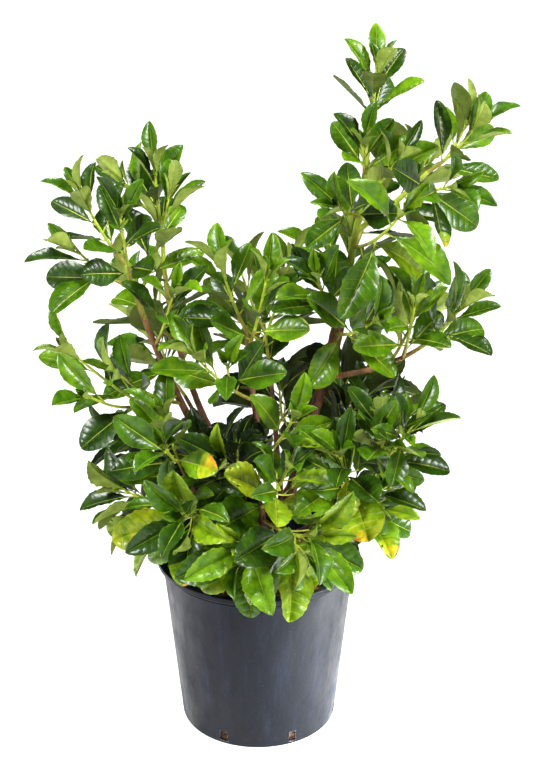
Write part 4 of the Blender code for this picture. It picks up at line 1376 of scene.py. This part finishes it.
def make_fallen_leaves(materials):
    """Dead leaves that lie curled on the soil near the rim."""
    shape = new_shape()
    for number, (x, y, heading, length) in enumerate(FALLEN_LEAVES):
        direction = Vector((*polar(1.0, math.radians(heading)), FALLEN_TILT)).normalized()
        normal = (UP - direction * UP.dot(direction)).normalized()
        root = Vector((x, y, soil_height(x, y) + FALLEN_LIFT))
        leaf = Leaf(root, direction, normal, length, length / 2, FALLEN_FOLD, FALLEN_BEND)
        blade = blade_for(Placed(leaf, 0.0, "front_middle", number))
        blade = blade._replace(top="amber", tip="amber", under="amber")
        blade = blade._replace(tip_from=FALLEN_TURNS_FROM, curl=FALLEN_CURL)
        add_leaf(shape, leaf, blade, FINE_VEIN_PAIRS)
    make_piece("fallen_leaves", shape, materials)


# Pot


def arc(centre_r, centre_z, radius, start, end):
    """Points of an arc in the turning plane, by angle in degrees from the outward direction."""
    for step in range(ARC_STEPS + 1):
        angle = math.radians(start + (end - start) * step / ARC_STEPS)
        yield centre_r + radius * math.cos(angle), centre_z + radius * math.sin(angle)


def wall_radius(height):
    share = height / (POT_HEIGHT - RIM_BAND_HEIGHT)
    return between((POT_WALL_FOOT_RADIUS, POT_WALL_TOP_RADIUS), share)


def pot_profile():
    """The cut through the pot's wall: up the inside from the axis, over the rim, down the outside."""
    band_foot = POT_HEIGHT - RIM_BAND_HEIGHT
    inside_radius = wall_radius(band_foot) - POT_WALL
    edge = POT_RIM_RADIUS - RIM_ROUNDING
    yield 0.0, POT_FLOOR
    yield wall_radius(POT_FLOOR) - POT_WALL, POT_FLOOR
    yield inside_radius, band_foot
    yield inside_radius + RIM_LIP_OUT, POT_HEIGHT - RIM_LIP_DOWN
    yield inside_radius + RIM_ROUNDING, POT_HEIGHT
    yield from arc(edge, POT_HEIGHT - RIM_ROUNDING, RIM_ROUNDING, 90.0, 0.0)
    yield POT_RIM_RADIUS - BAND_TAPER, band_foot + RIM_ROUNDING + BAND_TAPER_HEIGHT
    yield from arc(edge, band_foot + RIM_ROUNDING, RIM_ROUNDING, 0.0, -90.0)
    yield wall_radius(band_foot) + RIM_GROOVE, band_foot
    yield wall_radius(band_foot) + GROOVE_STEP_OUT, band_foot - GROOVE_STEP_DOWN
    yield wall_radius(band_foot - RIM_GROOVE), band_foot - RIM_GROOVE
    ledge = band_foot - LEDGE_BELOW_BAND
    for out, up in LEDGE_PROFILE:
        yield wall_radius(ledge) + out, ledge + up
    for share in WALL_RINGS:
        yield wall_radius(band_foot * share), band_foot * share
    foot = POT_WALL_FOOT_RADIUS - POT_FOOT_ROUNDING
    yield from arc(foot, POT_FOOT_ROUNDING, POT_FOOT_ROUNDING, 0.0, -90.0)
    yield foot - FOOT_RING, 0.0
    yield 0.0, 0.0


def mesh_of(name, shape):
    """A mesh from a bmesh, with all its faces turned outwards."""
    bmesh.ops.recalc_face_normals(shape, faces=shape.faces)
    mesh = bpy.data.meshes.new(name)
    shape.to_mesh(mesh)
    shape.free()
    return mesh


def turned_mesh(name, profile, steps):
    """A closed skin of a profile of (radius, height) points turned about Z."""
    shape = bmesh.new()
    rings = []
    for radius, height in profile:
        ring = []
        for step in range(steps if radius else 1):
            ring.append(shape.verts.new((*polar(radius, math.tau * step / steps), height)))
        rings.append(ring)
    for lower, upper in zip(rings, rings[1:]):
        for step in range(steps):
            places = ((lower, step), (upper, step), (upper, step + 1), (lower, step + 1))
            corners = dict.fromkeys(ring[place % len(ring)] for ring, place in places)
            shape.faces.new(corners)
    return mesh_of(name, shape)


def slot_azimuth(index):
    """The drainage slots are evenly round the pot's foot, with the front between two of them."""
    return math.tau * (index + 0.5) / SLOT_COUNT - math.tau / 4


def slot_axes(index):
    """The direction out through a slot and the one along the wall there."""
    out = Vector((*polar(1.0, slot_azimuth(index)), 0.0))
    return out, UP.cross(out)


def frayed_outline(index):
    """A slot's outline, a rectangle whose sides waver: places along the wall, and heights."""
    draw = Random(f"slot {index}")
    corners = ((-0.5, -0.5), (0.5, -0.5), (0.5, 0.5), (-0.5, 0.5))
    for (y0, z0), (y1, z1) in zip(corners, corners[1:] + corners[:1]):
        for step in range(SLOT_SIDE_STEPS):
            share = step / SLOT_SIDE_STEPS
            y = (y0 + (y1 - y0) * share) * SLOT_WIDTH + draw.uniform(-SLOT_FRAY, SLOT_FRAY)
            strays = draw.uniform(-SLOT_FRAY, SLOT_FRAY) * UPRIGHT_FRAY
            z = (z0 + (z1 - z0) * share) * SLOT_HEIGHT + strays
            yield y, SLOT_MIDDLE + z


def frayed_cutters():
    """The drainage slots: openings with torn edges."""
    shape = bmesh.new()
    for index in range(SLOT_COUNT):
        turn = Matrix.Rotation(slot_azimuth(index), 4, "Z")
        inner = []
        outer = []
        for y, height in frayed_outline(index):
            for ring, x in ((inner, -SLOT_DEPTH / 2), (outer, SLOT_DEPTH / 2)):
                place = Vector((POT_WALL_FOOT_RADIUS + x, y, height))
                ring.append(shape.verts.new(turn @ place))
        shape.faces.new(inner)
        shape.faces.new(outer)
        for step in range(len(inner)):
            after = (step + 1) % len(inner)
            shape.faces.new((inner[step], inner[after], outer[after], outer[step]))
    return mesh_of("slots", shape)


def make_pot():
    """The pot, with its drainage slots cut out."""
    pot = add_object("pot_shell", turned_mesh("pot_shell", pot_profile(), TURNED_STEPS))
    cutter = add_object("slots", frayed_cutters())
    cut = pot.modifiers.new("slots", "BOOLEAN")
    cut.operation = "DIFFERENCE"
    cut.object = cutter
    graph = bpy.context.evaluated_depsgraph_get()
    graph.update()
    done = bpy.data.meshes.new_from_object(pot.evaluated_get(graph))
    pot.modifiers.clear()
    pot.data = done
    done.shade_smooth()
    done.set_sharp_from_angle(angle=math.radians(POT_SHARP))
    bpy.data.objects.remove(cutter)
    done.materials.clear()
    done.materials.append(plastic_material())
    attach(pot, "root")
    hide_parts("pot")


def make_burrs():
    """Torn, whitened plastic that stands out along parts of each slot's edge."""
    shape = new_shape()
    for index in range(SLOT_COUNT):
        out, along = slot_axes(index)
        edge = []
        for y, height in frayed_outline(index):
            radius = math.sqrt(wall_radius(height) ** 2 - y * y)
            edge.append(out * radius + along * y + UP * height)
        draw = Random(f"burr {index}")
        for start in range(0, len(edge) - BURR_STEPS, BURR_STEPS):
            lip = draw.uniform(*BURR_LIP)
            torn = edge[start:start + BURR_STEPS + 1]
            route = [point + out * lip * draw.random() for point in torn]
            radii = [BURR_RADIUS * draw.uniform(*BURR_VARIES) for _ in route]
            tube(shape, route, radii, THREAD_SIDES, 0)
    make_piece("slot_burrs", shape, [torn_plastic()])


# Soil


def soil_height(x, y):
    """The soil's surface: low clods, a little lower at the wall."""
    edge = wall_radius(SOIL_TOP) - POT_WALL
    place = Vector((x, y, 0.0))
    height = SOIL_TOP - SOIL_ROUGH
    height += SOIL_ROUGH * noise.fractal(place * CLOD_SCALE, *CLOD_FRACTAL)
    height += GRIT * SOIL_ROUGH * noise.noise(place * GRIT_SCALE)
    sloping = max(0.0, math.hypot(x, y) / edge - SOIL_FLAT) / (1.0 - SOIL_FLAT)
    return height - SOIL_EDGE_DROP * sloping


def make_soil(material):
    """The root ball: a rough top and a side that shows through the drainage slots."""
    edge = wall_radius(SOIL_TOP) - POT_WALL - SOIL_CLEAR
    angles = [math.tau * spoke / SOIL_SPOKES for spoke in range(SOIL_SPOKES)]
    rows = []
    for ring in range(SOIL_RINGS):
        radius = max(SOIL_CENTRE, edge * ring / (SOIL_RINGS - 1))
        places = [polar(radius, angle) for angle in angles]
        rows.append([Vector((x, y, soil_height(x, y))) for x, y in places])
    for height in SOIL_SIDE_HEIGHTS:
        radius = wall_radius(height) - POT_WALL - 2 * SOIL_CLEAR
        row = []
        for spoke, angle in enumerate(angles):
            place = Vector((spoke * SIDE_SPOKE_SCALE, height * SIDE_HEIGHT_SCALE, 0.0))
            rough = SIDE_ROUGH * noise.noise(place)
            row.append(Vector((*polar(1.0, angle), 0.0)) * (radius + rough) + UP * height)
        rows.append(row)
    shape = new_shape()
    add_grid(shape, rows, 0, closed=True)
    piece = make_piece("soil_ball", shape, [material])
    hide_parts("soil")


def lump(shape, centre, size, draw, slot):
    """One crumb: a knobbly eight-sided lump."""
    first = len(shape.verts)
    for axis in ((1, 0, 0), (-1, 0, 0), (0, 1, 0), (0, -1, 0), (0, 0, 1), (0, 0, -1)):
        shape.verts.append(centre + Vector(axis) * (size * draw.uniform(*CRUMB_VARIES)))
    for corners in LUMP_FACES:
        shape.faces.append(tuple(first + corner for corner in corners))
        shape.slots.append(slot)


def chip(shape, centre, size, draw, slot):
    """A flat chip of bark."""
    turn = Matrix.Rotation(draw.uniform(0.0, math.tau), 3, "Z")
    turn = turn @ Matrix.Rotation(draw.uniform(-CHIP_TILT, CHIP_TILT), 3, "X")
    wide = size * draw.uniform(*CHIP_WIDTH)
    thick = size * CHIP_THICKNESS
    rows = []
    for z in (-thick, thick):
        ring = []
        for x, y in CHIP_OUTLINE:
            wander = draw.uniform(*CHIP_VARIES)
            ring.append(centre + turn @ Vector((x * size * wander, y * wide * wander, z)))
        rows.append(ring)
    rows.insert(0, [centre + turn @ Vector((0.0, 0.0, -thick))] * len(CHIP_OUTLINE))
    rows.append([centre + turn @ Vector((0.0, 0.0, thick))] * len(CHIP_OUTLINE))
    add_grid(shape, rows, slot, closed=True)


def place_on_soil(draw):
    radius = (wall_radius(SOIL_TOP) - POT_WALL - STREWN_CLEAR) * math.sqrt(draw.random())
    x, y = polar(radius, draw.uniform(0.0, math.tau))
    return Vector((x, y, soil_height(x, y)))


def make_crumbs(materials):
    """Crumbs and bark chips strewn over the soil."""
    draw = Random("crumbs")
    shape = new_shape()
    for _ in range(CRUMB_COUNT):
        lump(shape, place_on_soil(draw), draw.uniform(*CRUMB_SIZE), draw, 0)
    for index in range(CHIP_COUNT):
        centre = place_on_soil(draw) + UP * CHIP_LIFT
        chip(shape, centre, draw.uniform(*CHIP_SIZE), draw, 1 + index % 2)
    piece = make_piece("soil_crumbs", shape, materials)
    piece.data.set_sharp_from_angle(angle=math.radians(CRUMB_SHARP))


def make_slot_roots(material):
    """Fine roots that show in the drainage slots."""
    draw = Random("roots")
    shape = new_shape()
    half = SLOT_WIDTH * ROOT_FIELD
    for index in range(SLOT_COUNT * ROOT_COUNT):
        out, along = slot_axes(index // ROOT_COUNT)
        points = []
        y, z = draw.uniform(-half, half), draw.uniform(-half, half)
        heading = draw.uniform(0.0, math.tau)
        for _ in range(ROOT_POINTS):
            height = SLOT_MIDDLE + z
            radius = wall_radius(height) - POT_WALL * draw.uniform(*ROOT_DEPTH) - SOIL_CLEAR
            points.append(out * radius + along * y + UP * height)
            heading += draw.uniform(-ROOT_WANDERS, ROOT_WANDERS)
            y = max(-half, min(half, y + ROOT_STEP * math.cos(heading)))
            z = max(-half, min(half, z + ROOT_STEP * math.sin(heading)))
        radii = [draw.uniform(*ROOT_RADIUS)] * ROOT_POINTS
        tube(shape, points, radii, THREAD_SIDES, 0)
    make_piece("slot_roots", shape, [material])


def make_ground():
    """The root ball with what lies on it and the roots in the slots."""
    soil = loose_material("soil_dark", 180.0, (20, 14, 10), (70, 50, 36))
    make_soil(soil)
    light_chips = loose_material("bark_chips", 220.0, (74, 46, 30), (134, 92, 60))
    dark_chips = loose_material("chips_dark", 220.0, (48, 32, 24), (92, 66, 46))
    make_crumbs([soil, light_chips, dark_chips])
    make_slot_roots(loose_material("root_fibres", 300.0, (44, 28, 17), (118, 82, 50)))


# Studio


def make_stage():
    """A plain pale floor that runs out of sight, a little darker round the pot."""
    half = FLOOR_HALF
    corners = [(-half, -half, 0), (half, -half, 0), (half, half, 0), (-half, half, 0)]
    mesh = bpy.data.meshes.new("floor")
    mesh.from_pydata(corners, [], [(0, 1, 2, 3)])
    floor = add_object("floor", mesh)
    material, tree, shader = new_material("floor_white")
    place = add_node(tree, "TexCoord", "Object")
    distance = add_node(tree, "VectorMath", "Value", operation="LENGTH", Vector=place)
    limits = {"From_Min": 0.25, "From_Max": 1.2, "To_Min": 0.84, "To_Max": 1.0}
    glow = add_node(tree, "MapRange", "Result", Value=distance, **limits)
    set_values(shader, Base_Color=(0.25, 0.25, 0.25, 1.0), Roughness=0.9, Specular_IOR_Level=0.1)
    set_values(shader, Emission_Color=(1.0, 1.0, 1.0, 1.0), Emission_Strength=glow)
    mesh.materials.append(material)


def make_lights():
    """Soft boxes to both sides and above, small lamps for the pot's foot, and a white room."""
    for name, (place, aim, size, power, spread) in LAMPS.items():
        data = bpy.data.lights.new(name, "AREA")
        data.shape = "RECTANGLE"
        data.size, data.size_y = size
        data.energy = power
        data.spread = math.radians(spread)
        light = add_object(name, data)
        light.location = place
        light.rotation_mode = "QUATERNION"
        light.rotation_quaternion = (Vector(aim) - Vector(place)).to_track_quat("-Z", "Y")
    world = bpy.data.worlds.new("room")
    world.use_nodes = True
    tree = world.node_tree
    seen = add_node(tree, "LightPath", "Is Camera Ray")
    strength = add_node(tree, "MapRange", "Result", Value=seen, To_Min=ROOM_LIGHT, To_Max=1.0)
    set_values(tree.nodes["Background"], Color=(1.0, 1.0, 1.0, 1.0), Strength=strength)
    bpy.context.scene.world = world
    bpy.context.scene.view_settings.view_transform = "Standard"


def make_camera():
    data = bpy.data.cameras.new("camera")
    data.sensor_width = SENSOR
    data.lens = FOCAL_PX * SENSOR / PHOTO_HEIGHT_PX
    camera = add_object("camera", data)
    camera.location = CAMERA_PLACE
    camera.rotation_euler = (math.radians(CAMERA_TILT), 0.0, 0.0)
    bpy.context.scene.camera = camera


def main():
    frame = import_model()
    routes = limb_routes()
    bark = {name: bark_material(name, *look) for name, look in BARKS.items()}
    for name, route in routes.items():
        make_limb(name, route, list(bark.values()))
    make_foliage(frame["nodes"], routes, bark)
    make_pot()
    make_burrs()
    make_ground()
    make_stage()
    make_lights()
    make_camera()


main()
